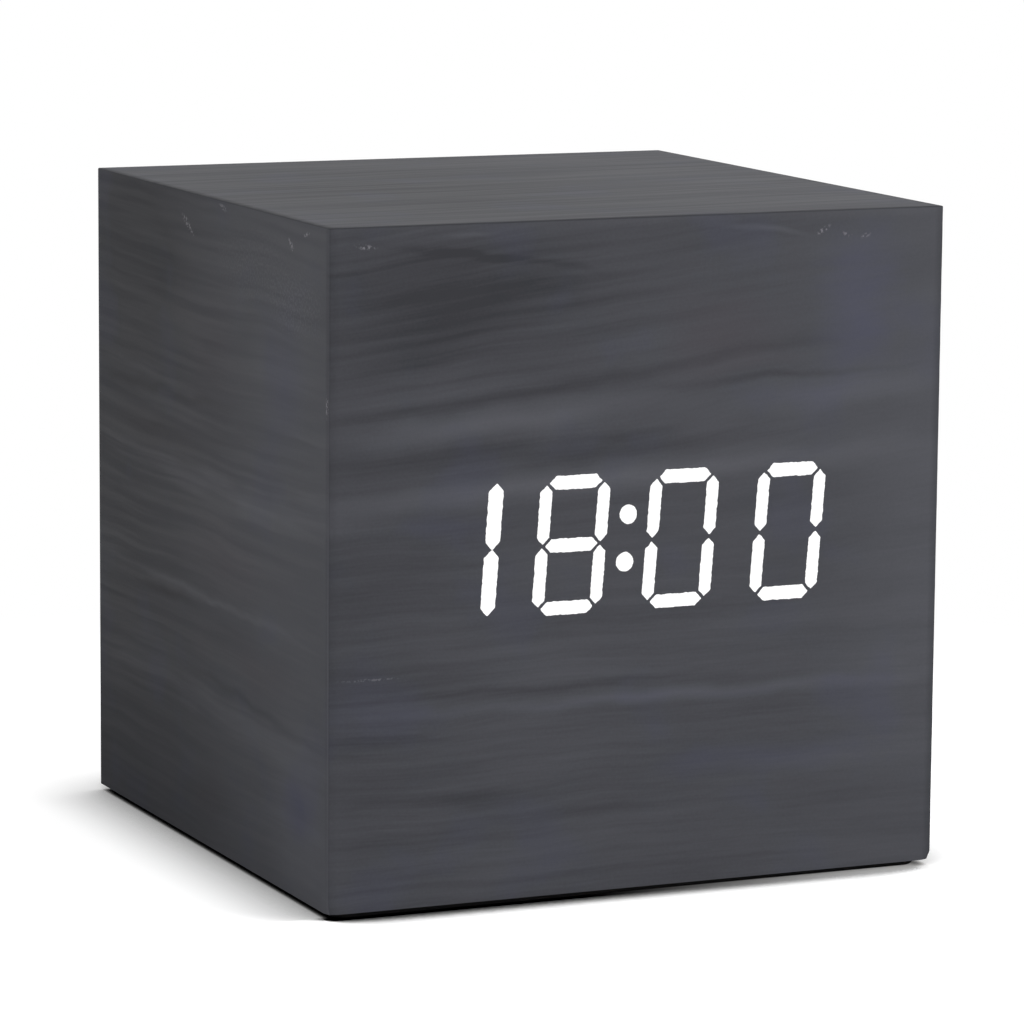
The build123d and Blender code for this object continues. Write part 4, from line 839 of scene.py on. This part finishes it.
def rounded_ring(shape, half_length, half_width, radius, level, corner_steps=4):
    """A ring of vertices round a rectangle with rounded corners, at one level."""
    ring = []
    for quarter, (sx, sy) in enumerate(((1, 1), (-1, 1), (-1, -1), (1, -1))):
        for step in range(corner_steps + 1):
            angle = (quarter + step / corner_steps) * pi / 2
            x = sx * (half_length - radius) + radius * cos(angle)
            y = sy * (half_width - radius) + radius * sin(angle)
            ring.append(shape.verts.new((x, y, level)))
    return ring


window_margin = 0.14 * mm
dome = 0.06 * mm
package_corner = 0.12 * mm
package_chamfer = 0.05 * mm
crown_share = 0.55  # of the window, which the top of the dome takes

led_boxes = islands("led_chips")
led_depth = led_boxes[0][1].y - led_boxes[0][0].y
led_short = min(high.x - low.x for low, high in led_boxes) / 2
led_long = max(high.x - low.x for low, high in led_boxes) / 2


def led_chip(half_length, half_width):
    """A chip package with its window towards +Z and its foot at the origin."""
    shape = bmesh.new()
    window = shape.faces.layers.float.new("window")
    inner = (half_length - window_margin, half_width - window_margin)
    chamfered = (half_length - package_chamfer, half_width - package_chamfer)
    crown = (inner[0] * crown_share, inner[1] * crown_share)
    rim = led_depth - dome
    steps = [(half_length, half_width, 0), (half_length, half_width, rim - package_chamfer),
             (*chamfered, rim), (*inner, rim), (*inner, led_depth - 1.5 * dome), (*crown, led_depth)]
    rings = [rounded_ring(shape, *sizes, package_corner, level) for *sizes, level in steps]
    ring_walls(shape, rings)
    for face in shape.faces:
        middle = face.calc_center_median()
        face[window] = float(abs(middle.x) < inner[0] and abs(middle.y) < inner[1] and middle.z > 0)
        face.smooth = False
    shape.transform(Matrix.Rotation(pi / 2, 4, "X"))
    return shape


led_package, tree = start_material("led_package_and_phosphor")
window = add_node(tree, "ShaderNodeAttribute", attribute_name="window")
grit = add_node(tree, "ShaderNodeTexNoise", {"Vector": object_point(tree), "Scale": 1 / (0.12 * mm)})
white = add_node(tree, "ShaderNodeMix", {0: grit, 6: linear("#dcdcd6"), 7: linear("#f0f0ea")},
                 data_type="RGBA")
yellow = add_node(tree, "ShaderNodeMix", {0: grit, 6: linear("#d8b83a"), 7: linear("#ecd25e")},
                  data_type="RGBA")
both = add_node(tree, "ShaderNodeMix", {0: window.outputs["Fac"], 6: white, 7: yellow}, data_type="RGBA")
surface = add_node(tree, "ShaderNodeBsdfPrincipled", {"Base Color": both, "Roughness": 0.45, "IOR": 1.5})
add_node(tree, "ShaderNodeOutputMaterial", {"Surface": surface})

long_places = [((low.x + high.x) / 2, high.y, (low.z + high.z) / 2) for low, high in led_boxes]
turns = [pi / 2 if high.z - low.z > high.x - low.x + 0.01 * mm else 0.0 for low, high in led_boxes]
dots = [abs((high.z - low.z) - (high.x - low.x)) < 0.01 * mm for low, high in led_boxes]
bars = [(place, turn) for place, turn, dot in zip(long_places, turns, dots) if not dot]
round_ones = [(place, 0.0) for place, dot in zip(long_places, dots) if dot]
chips = set_out("leds", led_chip(led_long, led_short), bars, (0, 1, 0), led_package)
dot_chips = set_out("dot_leds", led_chip(led_short, led_short), round_ones, (0, 1, 0), led_package)
joined = bmesh.new()
joined.from_mesh(chips)
joined.from_mesh(dot_chips)
joined.to_mesh(chips)
joined.free()
place_piece("leds", chips, "case", "led_package", "led_chips")


# The circuit boards: glass-epoxy laminate under green solder mask, with copper tracks showing through.
# The mask is glossy, and lighter where the copper lies under it.
def seen_flat(tree, point):
    """A point as the front view shows it: x stays and height becomes y."""
    split = add_node(tree, "ShaderNodeSeparateXYZ", {"Vector": point})
    return add_node(tree, "ShaderNodeCombineXYZ", {"X": split.outputs["X"], "Y": split.outputs["Z"]})


circuit_board, tree = start_material("fr4_green_solder_mask")
point = object_point(tree)
flat_place = seen_flat(tree, point)
blocks = add_node(tree, "ShaderNodeTexVoronoi", {"Vector": flat_place, "Scale": 1 / (3.4 * mm)},
                  distance="MANHATTAN", feature="F2")
lines = add_node(tree, "ShaderNodeMath", blocks, 0.16, operation="PINGPONG")
copper = add_node(tree, "ShaderNodeMapRange", lines, 0.07, 0.09, interpolation_type="SMOOTHSTEP")
weave = add_node(tree, "ShaderNodeTexNoise", {"Vector": point, "Scale": 1 / (0.5 * mm), "Detail": 2.0})
mask_green = add_node(tree, "ShaderNodeMix", {0: weave, 6: linear("#0f3d21"), 7: linear("#14502b")},
                      data_type="RGBA")
tracked = add_node(tree, "ShaderNodeMix", {0: copper, 6: mask_green, 7: linear("#23713c")},
                   data_type="RGBA")
relief = add_node(tree, "ShaderNodeBump", {"Height": copper, "Distance": 0.03 * mm, "Strength": 0.6})
surface = add_node(tree, "ShaderNodeBsdfPrincipled", {"Base Color": tracked, "Roughness": 0.3, "IOR": 1.5,
                                                      "Normal": relief})
add_node(tree, "ShaderNodeOutputMaterial", {"Surface": surface})
for name in ("main_board", "key_board"):
    finish_node(name, circuit_board)


# The pan-head screws: small self-tapping steel screws, nickel plated, driven by a cross recess.
# Four hold the main board to the front panel, and two hold the key board to the bezel's bosses.
def round_ring(shape, radius, level, sides):
    """A ring of vertices round the Z axis."""
    angles = [2 * pi * index / sides for index in range(sides)]
    return [shape.verts.new((radius * cos(angle), radius * sin(angle), level)) for angle in angles]


cross_arm = 0.95 * mm
cross_half = 0.22 * mm
cross_floor = 0.55 * mm  # how deep the recess goes
thread_pitch = 0.7 * mm
thread_root = 0.75  # of the shank's radius
tip_radius = 0.08 * mm
neck_length = 0.4 * mm  # plain, under the head
crest_sharpness = 3.2  # a higher number makes the thread's ridge narrower
recess_taper = (0.6, 0.8)  # of the cross's arm and half width, at the recess's foot


def cross_ring(shape, arm, half, level):
    """The twelve corners of a cross."""
    quarter = [(arm, -half), (arm, half), (half, half)]
    ring = []
    for index in range(4):
        turn = Matrix.Rotation(index * pi / 2, 2)
        ring += [shape.verts.new((*(turn @ Vector(corner)), level)) for corner in quarter]
    return ring


def screw(head_rings, shank_radius, shank_length, point_length):
    """A screw with its head towards +Z and its seat at the origin; head_rings are radius and height."""
    shape = bmesh.new()
    sides = 36
    rings = [round_ring(shape, tip_radius, -shank_length, sides),
             round_ring(shape, thread_root * shank_radius, point_length - shank_length, sides)]
    # the thread: each ring of the shank bulges where the spiral passes it
    step = thread_pitch / 8
    level = point_length - shank_length + step
    while level < -neck_length:
        ring = []
        for index in range(sides):
            phase = (level / thread_pitch - index / sides) % 1
            crest = max(0.0, 1 - abs(phase - 0.5) * crest_sharpness)
            radius = shank_radius * (thread_root + (1 - thread_root) * crest)
            angle = 2 * pi * index / sides
            ring.append(shape.verts.new((radius * cos(angle), radius * sin(angle), level)))
        rings.append(ring)
        level += step
    rings.append(round_ring(shape, thread_root * shank_radius, 0, sides))
    rings += [round_ring(shape, radius, height, sides) for radius, height in head_rings]
    ring_walls(shape, rings, close_ends=False)
    shape.faces.new(reversed(rings[0]))
    # the cross recess, cut into the head's crown
    top = rings[-1]
    high = head_rings[-1][1]
    mouth = cross_ring(shape, cross_arm, cross_half, high)
    foot = cross_ring(shape, recess_taper[0] * cross_arm, recess_taper[1] * cross_half, high - cross_floor)
    lip = [shape.edges.new((mouth[index], mouth[(index + 1) % len(mouth)])) for index in range(len(mouth))]
    rim = [shape.edges.get((top[index], top[(index + 1) % sides])) for index in range(sides)]
    bmesh.ops.triangle_fill(shape, edges=lip + rim, use_beauty=True)
    for index in range(len(mouth)):
        ahead = (index + 1) % len(mouth)
        shape.faces.new((mouth[index], mouth[ahead], foot[ahead], foot[index]))
    shape.faces.new(foot)
    bmesh.ops.recalc_face_normals(shape, faces=shape.faces)
    return shape


plated_steel = speckled("steel_nickel_plated", "#a2a2a4", "#b6b6b8", 0.5 * mm, 0.3, 1.5, 0.004 * mm,
                        metallic=1.0)


def pan_screws(name):
    """The pan-head screws of one board as one mesh."""
    boxes = islands(name)
    head_radius = (boxes[0][1].x - boxes[0][0].x) / 2
    head_height = 1.1 * mm
    facing = 1 if name == "board_screws" else -1
    depth = boxes[0][1].y - boxes[0][0].y
    rings = [(head_radius, 0.0), (head_radius, 0.35 * head_height), (0.9 * head_radius, 0.75 * head_height),
             (0.72 * head_radius, head_height)]
    shape = screw(rings, 0.8 * mm, depth - head_height, 0.9 * mm)
    shape.transform(Matrix.Rotation(-facing * pi / 2, 4, "X"))
    seats = []
    for low, high in boxes:
        seat = high.y - head_height if facing > 0 else low.y + head_height
        seats.append((((low.x + high.x) / 2, seat, (low.z + high.z) / 2), 0.0))
    return set_out(name, shape, seats, (0, 1, 0), plated_steel, loose_turn=pi, seed=len(boxes))


place_piece("main_board_screws", pan_screws("board_screws"), "case", "screw_steel", "board_screws")
place_piece("key_board_screws", pan_screws("key_screws"), "case", "screw_steel", "key_screws")


# The parts on the main board: chips in black epoxy with tinned leads, an aluminium capacitor in its sleeve,
# a steel crystal can, a moulded buzzer, a microphone with a felt face and a thermistor in an epoxy bead.
def two_part(first, second, share, roughness, relief_size):
    """Two finishes on one solid: share is 1 where the second finish lies, which is metal."""
    tree = share.id_data
    grit = add_node(tree, "ShaderNodeTexNoise", {"Vector": object_point(tree), "Scale": 1 / relief_size,
                                                 "Detail": 3.0})
    mottled = add_node(tree, "ShaderNodeMix", {0: grit, 6: linear(first[0]), 7: linear(first[1])},
                       data_type="RGBA")
    other = add_node(tree, "ShaderNodeMix", {0: grit, 6: linear(second[0]), 7: linear(second[1])},
                     data_type="RGBA")
    both = add_node(tree, "ShaderNodeMix", {0: share, 6: mottled, 7: other}, data_type="RGBA")
    relief = add_node(tree, "ShaderNodeBump", {"Height": grit, "Distance": 0.01 * mm, "Strength": 0.4})
    surface = add_node(tree, "ShaderNodeBsdfPrincipled", {"Base Color": both, "Roughness": roughness,
                                                          "Metallic": share, "Normal": relief})
    add_node(tree, "ShaderNodeOutputMaterial", {"Surface": surface})


def axis_place(tree, axis):
    """One coordinate of the surface point."""
    split = add_node(tree, "ShaderNodeSeparateXYZ", {"Vector": object_point(tree)})
    return split.outputs[axis]


lead_reach = 1.1 * mm

for name in ("controller_chip", "led_driver"):
    low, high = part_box(name)
    material, tree = start_material("epoxy_and_tinned_leads_" + name)
    above = add_node(tree, "ShaderNodeMath", axis_place(tree, "Z"), float(low[2] + high[2]) / 2,
                     operation="SUBTRACT")
    off = add_node(tree, "ShaderNodeMath", above, operation="ABSOLUTE")
    body_half = float(high[2] - low[2]) / 2 - lead_reach
    share = add_node(tree, "ShaderNodeMapRange", off, body_half, body_half + 0.01 * mm,
                     interpolation_type="SMOOTHSTEP")
    two_part(("#101011", "#1a1a1c"), ("#b9b9b6", "#cfcfcc"), share, 0.45, 0.25 * mm)
    finish_node(name, material)

cap_foot = float(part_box("capacitor")[1][1])
capacitor_sleeve, tree = start_material("aluminium_in_shrunk_sleeve")
share = add_node(tree, "ShaderNodeMapRange", axis_place(tree, "Y"), cap_foot - 0.4 * mm,
                 cap_foot - 0.36 * mm, interpolation_type="SMOOTHSTEP")
two_part(("#14151c", "#1d1f29"), ("#b4b6b8", "#c6c8ca"), share, 0.3, 0.6 * mm)
finish_node("capacitor", capacitor_sleeve)

crystal_can = speckled("steel_can_drawn", "#a8a9a9", "#bcbdbc", 0.4 * mm, 0.25, 1.5, 0.004 * mm,
                       metallic=1.0)
finish_node("clock_crystal", crystal_can)

buzzer_case = speckled("pbt_moulded_black", "#0f0f10", "#1b1b1c", 0.3 * mm, 0.55, 1.5, 0.02 * mm)
finish_node("buzzer", buzzer_case)

mic_low, mic_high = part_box("microphone")
microphone_can, tree = start_material("aluminium_can_and_felt")
flat_place = seen_flat(tree, object_point(tree))
middle = (float(mic_low[0] + mic_high[0]) / 2, float(mic_low[2] + mic_high[2]) / 2, 0)
away = add_node(tree, "ShaderNodeVectorMath", flat_place, middle, operation="DISTANCE")
can_half = float(mic_high[0] - mic_low[0]) / 2
share = add_node(tree, "ShaderNodeMapRange", away, can_half - 0.6 * mm, can_half - 0.57 * mm,
                 interpolation_type="SMOOTHSTEP")
two_part(("#121212", "#262626"), ("#b5b6b6", "#c9caca"), share, 0.5, 0.15 * mm)
finish_node("microphone", microphone_can)

bead = speckled("epoxy_bead_dark", "#1c1a17", "#2c2823", 0.4 * mm, 0.3, 1.5, 0.01 * mm)
finish_node("thermistor", bead)


# The rear bezel: a black ABS moulding in the back panel, with a fine spark-eroded grain on its face.
# The keys are moulded a little smoother and rub shiny in the middle of their crowns.
finish_node("rear_bezel", moulded_black)

rubbed = 1.4 * mm  # from a key's axis

key_plastic = speckled("abs_moulded_keys", "#121213", "#1b1b1d", 0.25 * mm, 0.38, 1.53, 0.01 * mm)
tree = key_plastic.node_tree
flat_place = seen_flat(tree, object_point(tree))
nearest = 1.0
for name in ("set", "down", "up"):
    low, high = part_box(name + "_button")
    axis = (float(low[0] + high[0]) / 2, float(low[2] + high[2]) / 2, 0)
    away = add_node(tree, "ShaderNodeVectorMath", flat_place, axis, operation="DISTANCE")
    nearest = add_node(tree, "ShaderNodeMath", nearest, away, operation="MINIMUM")
worn_gloss = add_node(tree, "ShaderNodeMapRange", nearest, 0.3 * rubbed, rubbed, 0.22, 0.44,
                      interpolation_type="SMOOTHSTEP")
tree.links.new(worn_gloss.outputs["Result"], surface_sockets(key_plastic)["Roughness"])
for name in ("set", "down", "up"):
    finish_node(name + "_button", key_plastic)

switch_black = speckled("nylon_moulded_switch", "#141415", "#202022", 0.3 * mm, 0.5, 1.53, 0.01 * mm)
plunger_grey = speckled("nylon_moulded_plunger", "#3a3a3c", "#48484a", 0.3 * mm, 0.45, 1.53, 0.01 * mm)
for name in ("set", "down", "up"):
    finish_node(name + "_switch", switch_black)
    finish_node(name + "_plunger", plunger_grey)

jack_black = speckled("nylon_moulded_jack", "#0e0e0f", "#19191b", 0.3 * mm, 0.42, 1.53, 0.01 * mm)
finish_node("jack_housing", jack_black)

nickel_brass = speckled("brass_nickel_plated", "#b9ae94", "#cbc2aa", 0.4 * mm, 0.22, 1.5, 0.003 * mm,
                        metallic=1.0)
finish_node("jack_pin", nickel_brass)
finish_node("jack_leaf", nickel_brass)


# The base cover and the battery door: black ABS mouldings with the matt grain of their tool.
# The cover is plugged into the foot of the case, and the door closes the bay from below.
base_black = speckled("abs_moulded_base", "#040405", "#09090a", 0.35 * mm, 0.7, 1.53, 0.02 * mm)
surface_sockets(base_black)["Specular IOR Level"].default_value = 0.12
finish_node("base_cover", base_black)
finish_node("battery_door", base_black)


# The base screws: countersunk self-tapping screws in blackened steel, one up into each corner block.
blackened_steel = speckled("steel_blackened", "#2c2c2e", "#3a3a3c", 0.4 * mm, 0.4, 1.5, 0.006 * mm,
                           metallic=1.0)
base_boxes = islands("base_screws")
head_radius = (base_boxes[0][1].x - base_boxes[0][0].x) / 2
shank_radius = 1.2 * mm
cone = head_radius - shank_radius
total = base_boxes[0][1].z - base_boxes[0][0].z
head = screw([(shank_radius, 0.0), (head_radius, cone - 0.05 * mm), (head_radius - 0.12 * mm, cone)],
             shank_radius, total - cone, 1.6 * mm)
head.transform(Matrix.Translation((0, 0, -cone)))
head.transform(Matrix.Rotation(pi, 4, "X"))
heads = [(((low.x + high.x) / 2, (low.y + high.y) / 2, low.z), 0.0) for low, high in base_boxes]
base_screw_mesh = set_out("base_screws", head, heads, (0, 0, 1), blackened_steel, loose_turn=pi, seed=5)
place_piece("countersunk_screws", base_screw_mesh, "case", "screw_steel", "base_screws")


# The battery contacts: nickel-plated spring steel, stamped, with a pressed dimple for each cell's nub
# and a conical spring of round wire for each flat end.
contact_thickness = 0.3 * mm
wire_radius = 0.25 * mm
spring_turns = 3.0
plate_corner = 0.8 * mm
dimple_foot = 2.2 * mm
dimple_top = 1.2 * mm
dimple_height = 0.7 * mm
tab_width = 3.0 * mm
cell_axis = float(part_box("cell_1")[0][2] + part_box("cell_1")[1][2]) / 2

spring_tree, given = start_shape_tree("contact_spring", Vector=("Place", "Turn"),
                                      Float=("Turns", "Foot radius", "Tip radius", "Length", "Wire radius"))
spiral = add_node(spring_tree, "GeometryNodeCurveSpiral", {"Resolution": 40, "Rotations": given["Turns"],
                                                           "Start Radius": given["Foot radius"],
                                                           "End Radius": given["Tip radius"],
                                                           "Height": given["Length"], "Reverse": False})
foot_ring = add_node(spring_tree, "GeometryNodeCurvePrimitiveCircle", {"Resolution": 12,
                                                                       "Radius": given["Wire radius"]})
wire = add_node(spring_tree, "GeometryNodeCurveToMesh", {"Curve": spiral, "Profile Curve": foot_ring,
                                                         "Fill Caps": True})
set_in = add_node(spring_tree, "GeometryNodeTransform", {"Geometry": wire, "Translation": given["Place"],
                                                         "Rotation": given["Turn"]})
round_wire = add_node(spring_tree, "GeometryNodeSetShadeSmooth", {"Geometry": set_in})
parts = add_node(spring_tree, "GeometryNodeJoinGeometry", {"Geometry": round_wire})
spring_tree.links.new(given["Geometry"], parts.inputs["Geometry"])
close_shape_tree(spring_tree, parts, given["Material"])

contact_steel = speckled("spring_steel_nickel_plated", "#b4b2ac", "#c8c6c0", 0.5 * mm, 0.25, 1.5,
                         0.003 * mm, metallic=1.0)


def contact_plate(low_y, high_y, low_z, plate_top, tab_top, tab_middle, dimple_y):
    """A stamped plate in the YZ plane, its face at x = 0 towards +X, with a tab and a dimple if asked."""
    shape = bmesh.new()
    half_y = (high_y - low_y) / 2
    half_z = (plate_top - low_z) / 2
    middle = Vector(((low_y + high_y) / 2, (low_z + plate_top) / 2, 0))
    rings = [rounded_ring(shape, half_y, half_z, plate_corner, level) for level in (-contact_thickness, 0)]
    ring_walls(shape, rings)
    bmesh.ops.translate(shape, verts=shape.verts, vec=middle)
    if tab_top > plate_top:
        tab = bmesh.new()
        reach = tab_top - plate_top + plate_corner
        tab_rings = [rounded_ring(tab, tab_width / 2, reach / 2, 0.5 * mm, level)
                     for level in (-contact_thickness, 0)]
        ring_walls(tab, tab_rings)
        bmesh.ops.translate(tab, verts=tab.verts, vec=(tab_middle, tab_top - reach / 2, 0))
        tab_mesh = bpy.data.meshes.new("tab")
        tab.to_mesh(tab_mesh)
        tab.free()
        shape.from_mesh(tab_mesh)
    if dimple_y is not None:
        steps = [(dimple_foot, 0.0), (0.93 * dimple_foot, 0.18), (1.25 * dimple_top, 0.86),
                 (dimple_top, 0.97), (0.75 * dimple_top, 1.0)]
        start = len(shape.verts)
        dimple_rings = [round_ring(shape, radius, share * dimple_height, 32) for radius, share in steps]
        ring_walls(shape, dimple_rings)
        shape.verts.ensure_lookup_table()
        bmesh.ops.translate(shape, verts=shape.verts[start:], vec=(dimple_y, cell_axis, 0))
    for face in shape.faces:
        face.smooth = False
    # the plate was drawn flat: its x becomes y, its y becomes z and its face turns towards +X
    shape.transform(Matrix(((0, 0, 1, 0), (1, 0, 0, 0), (0, 1, 0, 0), (0, 0, 0, 1))))
    return shape


contacts = {"negative_contact": (None, 0), "positive_contact": (0, None), "right_link_contact": (0, 1),
            "left_link_contact": (0, 1)}
for name, (dimple_row, spring_row) in contacts.items():
    low, high = [Vector(corner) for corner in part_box(name)]
    side = 1 if high.x > 0 else -1
    linked = "link" in name
    face_x = high.x - contact_thickness if side > 0 else low.x + contact_thickness
    rows = [low.y + 4.3 * mm, high.y - 4.3 * mm] if linked else [(low.y + high.y) / 2]
    plate_top = cell_axis + 3.0 * mm
    dimple_y = None if dimple_row is None else rows[dimple_row]
    plate = contact_plate(low.y, high.y, low.z, plate_top, high.z if not linked else plate_top, rows[0],
                          dimple_y)
    if side > 0:
        plate.transform(Matrix.Scale(-1, 4, (1, 0, 0)))
        bmesh.ops.reverse_faces(plate, faces=plate.faces)
    plate.transform(Matrix.Translation((face_x, 0, 0)))
    plate_mesh = bpy.data.meshes.new(name + "_plate")
    plate.to_mesh(plate_mesh)
    plate.free()
    if spring_row is not None:
        travel = (high.x - low.x) - contact_thickness - 2 * wire_radius
        place = (face_x - side * wire_radius, rows[spring_row], cell_axis)
        values = {"Turns": spring_turns, "Foot radius": 3.0 * mm, "Tip radius": 1.8 * mm,
                  "Length": travel, "Wire radius": wire_radius, "Place": Vector(place),
                  "Turn": Vector((0, -side * pi / 2, 0)), "Material": contact_steel}
        plate_mesh = run_shape_tree(spring_tree, plate_mesh, values)
    else:
        plate_mesh.materials.append(contact_steel)
    place_piece("stamped_" + name, plate_mesh, "case", "contact_steel", name)


# The cells: AAA size, a steel can in a shrunk plastic sleeve that turns in over both ends.
# The sleeve is glossy and plain, and the ends are bright steel.
sleeve_turn_in = 0.7 * mm

cell_low, cell_high = [Vector(corner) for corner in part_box("cell_1")]
cell_radius = (cell_high.z - cell_low.z) / 2
can_length = (cell_high.x - cell_low.x) - 0.9 * mm
nub_radius = 1.9 * mm

cell_shape = bmesh.new()
steel_share = cell_shape.faces.layers.float.new("steel")
profile = [(0.5 * mm, 0.12 * mm), (2.9 * mm, 0.12 * mm), (3.2 * mm, 0.0),
           (cell_radius - sleeve_turn_in, 0.0), (cell_radius - 0.25 * mm, 0.02 * mm),
           (cell_radius, 0.3 * mm), (cell_radius, 0.8 * mm), (cell_radius, can_length - 1.2 * mm),
           (cell_radius, can_length - 0.5 * mm), (cell_radius - 0.25 * mm, can_length - 0.1 * mm),
           (cell_radius - sleeve_turn_in, can_length),
           (cell_radius - 1.1 * sleeve_turn_in, can_length - 0.25 * mm),
           (nub_radius + 0.35 * mm, can_length - 0.15 * mm), (nub_radius, can_length + 0.1 * mm),
           (nub_radius - 0.05 * mm, can_length + 0.6 * mm), (nub_radius - 0.3 * mm, can_length + 0.85 * mm),
           (0.5 * mm, can_length + 0.9 * mm)]
rings = [round_ring(cell_shape, radius, level, 48) for radius, level in profile]
ring_walls(cell_shape, rings)
for face in cell_shape.faces:
    levels = face.calc_center_median()
    reach = sqrt(levels.x ** 2 + levels.y ** 2)
    face[steel_share] = float(reach < cell_radius - sleeve_turn_in)
    face.smooth = reach > cell_radius - 0.4 * mm
cell_shape.transform(Matrix.Rotation(pi / 2, 4, "Y"))

cell_sleeve, tree = start_material("shrunk_sleeve_on_steel_can")
steel = add_node(tree, "ShaderNodeAttribute", attribute_name="steel")
two_part(("#1c4a63", "#235672"), ("#b2b3b3", "#c6c7c6"), steel.outputs["Fac"], 0.28, 0.8 * mm)

cell_places = []
for name in ("cell_1", "cell_2", "cell_3"):
    low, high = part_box(name)
    flipped = name == "cell_2"
    x = float(high[0]) if flipped else float(low[0])
    cell_places.append(((x, float(low[1] + high[1]) / 2, cell_axis), pi if flipped else 0.0))
cell_mesh = set_out("cells", cell_shape, cell_places, (0, 0, 1), cell_sleeve)
place_piece("aaa_cells", cell_mesh, "case", "cell_sleeve", "cell_1", "cell_2", "cell_3")


# The battery leads and the flat key cable: stranded wire in PVC, soldered at both ends.
# The cable is a ribbon of nine wires side by side, which rises in one arch between the two boards.
wire_tree, given = start_shape_tree("insulated_wires", Float=("Wire radius", "Wires", "Spacing", "Step"))
route = add_node(wire_tree, "GeometryNodeMeshToCurve", {"Mesh": given["Geometry"]})
eased = add_node(wire_tree, "GeometryNodeCurveSplineType", {"Curve": route}, spline_type="NURBS")
ends = add_node(wire_tree, "GeometryNodeResampleCurve", {"Curve": eased, "Length": given["Step"]},
                mode="LENGTH")
upright = add_node(wire_tree, "GeometryNodeSetCurveNormal", {"Curve": ends}, mode="Z_UP")
section = add_node(wire_tree, "GeometryNodeCurvePrimitiveCircle", {"Resolution": 16,
                                                                   "Radius": given["Wire radius"]})
count = add_node(wire_tree, "FunctionNodeFloatToInt", given["Wires"], rounding_mode="ROUND")
spread = add_node(wire_tree, "ShaderNodeCombineXYZ", {"X": given["Spacing"]})
half_span = add_node(wire_tree, "ShaderNodeMath", given["Wires"], -0.5, 0.5, operation="MULTIPLY_ADD")
first = add_node(wire_tree, "ShaderNodeVectorMath", {0: spread, "Scale": half_span}, operation="SCALE")
row = add_node(wire_tree, "GeometryNodeMeshLine", {"Count": count, "Start Location": first,
                                                   "Offset": spread})
side_by_side = add_node(wire_tree, "GeometryNodeInstanceOnPoints", {"Points": row, "Instance": section})
sections = add_node(wire_tree, "GeometryNodeRealizeInstances", {"Geometry": side_by_side})
sheath = add_node(wire_tree, "GeometryNodeCurveToMesh", {"Curve": upright, "Profile Curve": sections,
                                                         "Fill Caps": True})
smooth = add_node(wire_tree, "GeometryNodeSetShadeSmooth", {"Geometry": sheath})
close_shape_tree(wire_tree, smooth, given["Material"])


def along_route(start, end, shares):
    """A mesh of one open line from start to end, through points at shares of the way along each axis."""
    points = [start]
    points += [tuple(a + (b - a) * share for a, b, share in zip(start, end, row)) for row in shares]
    points.append(end)
    line = bpy.data.meshes.new("route")
    line.from_pydata([Vector(point) * mm for point in points],
                     [(index, index + 1) for index in range(len(points) - 1)], [])
    return line


red_pvc = speckled("pvc_red", "#931812", "#a8221a", 0.6 * mm, 0.4, 1.53, 0.01 * mm)
black_pvc = speckled("pvc_black", "#101010", "#1a1a1a", 0.6 * mm, 0.4, 1.53, 0.01 * mm)
grey_pvc = speckled("pvc_grey", "#85868a", "#96979a", 0.6 * mm, 0.45, 1.53, 0.01 * mm)

lead_sizes = {"Wire radius": 0.6 * mm, "Wires": 1.0, "Spacing": 0.0, "Step": 0.4 * mm}
red_route = along_route((24.2, 11.1, 15.1), (14.9, -25.1, 22.3),
                        ((0.40, 0.00, 0.00), (0.76, 0.10, 0.15), (0.93, 0.29, 0.46), (1.00, 0.53, 0.82),
                         (1.00, 0.78, 1.00)))
red_mesh = run_shape_tree(wire_tree, red_route, dict(lead_sizes, Material=red_pvc))
place_piece("red_lead", red_mesh, "case", "red_insulation", "battery_lead_red")
black_route = along_route((-24.2, -11.1, 15.1), (-15.96, -25.1, 22.3),
                          ((0.37, 0.00, 0.00), (0.71, 0.11, 0.21), (0.95, 0.32, 0.60), (1.00, 0.64, 1.00)))
black_mesh = run_shape_tree(wire_tree, black_route, dict(lead_sizes, Material=black_pvc))
place_piece("black_lead", black_mesh, "case", "black_insulation", "battery_lead_black")

# Of the way to the main board, of the change of height, and of the arch's rise
cable_shares = ((0.16, 0.00, 0.00), (0.34, 0.20, 0.55), (0.57, 0.50, 0.90), (0.78, 0.80, 0.40),
                (0.87, 1.00, 0.00))
cable_rise = 8.5  # of the arch, in millimetres
board_share = 0.63  # how far up the main board the cable ends

cable_low, cable_high = [Vector(corner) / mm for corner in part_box("key_cable")]
key_low, key_high = [Vector(corner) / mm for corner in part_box("key_board")]
board_low, board_high = [Vector(corner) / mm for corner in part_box("main_board")]
cable_x = (cable_low.x + cable_high.x) / 2
cable_start = (cable_x, cable_high.y, (key_low.z + key_high.z) / 2)
cable_end = (cable_x, cable_low.y, board_low.z + board_share * (board_high.z - board_low.z))
lift = cable_rise / (cable_end[2] - cable_start[2])
cable_route = along_route(cable_start, cable_end,
                          [(0.0, way, level + lift * arch) for way, level, arch in cable_shares])
cable_sizes = {"Wire radius": 0.4 * mm, "Wires": 9.0, "Spacing": 0.8 * mm, "Step": 0.5 * mm,
               "Material": grey_pvc}
cable_mesh = run_shape_tree(wire_tree, cable_route, cable_sizes)
place_piece("ribbon_cable", cable_mesh, "case", "cable_insulation", "key_cable")
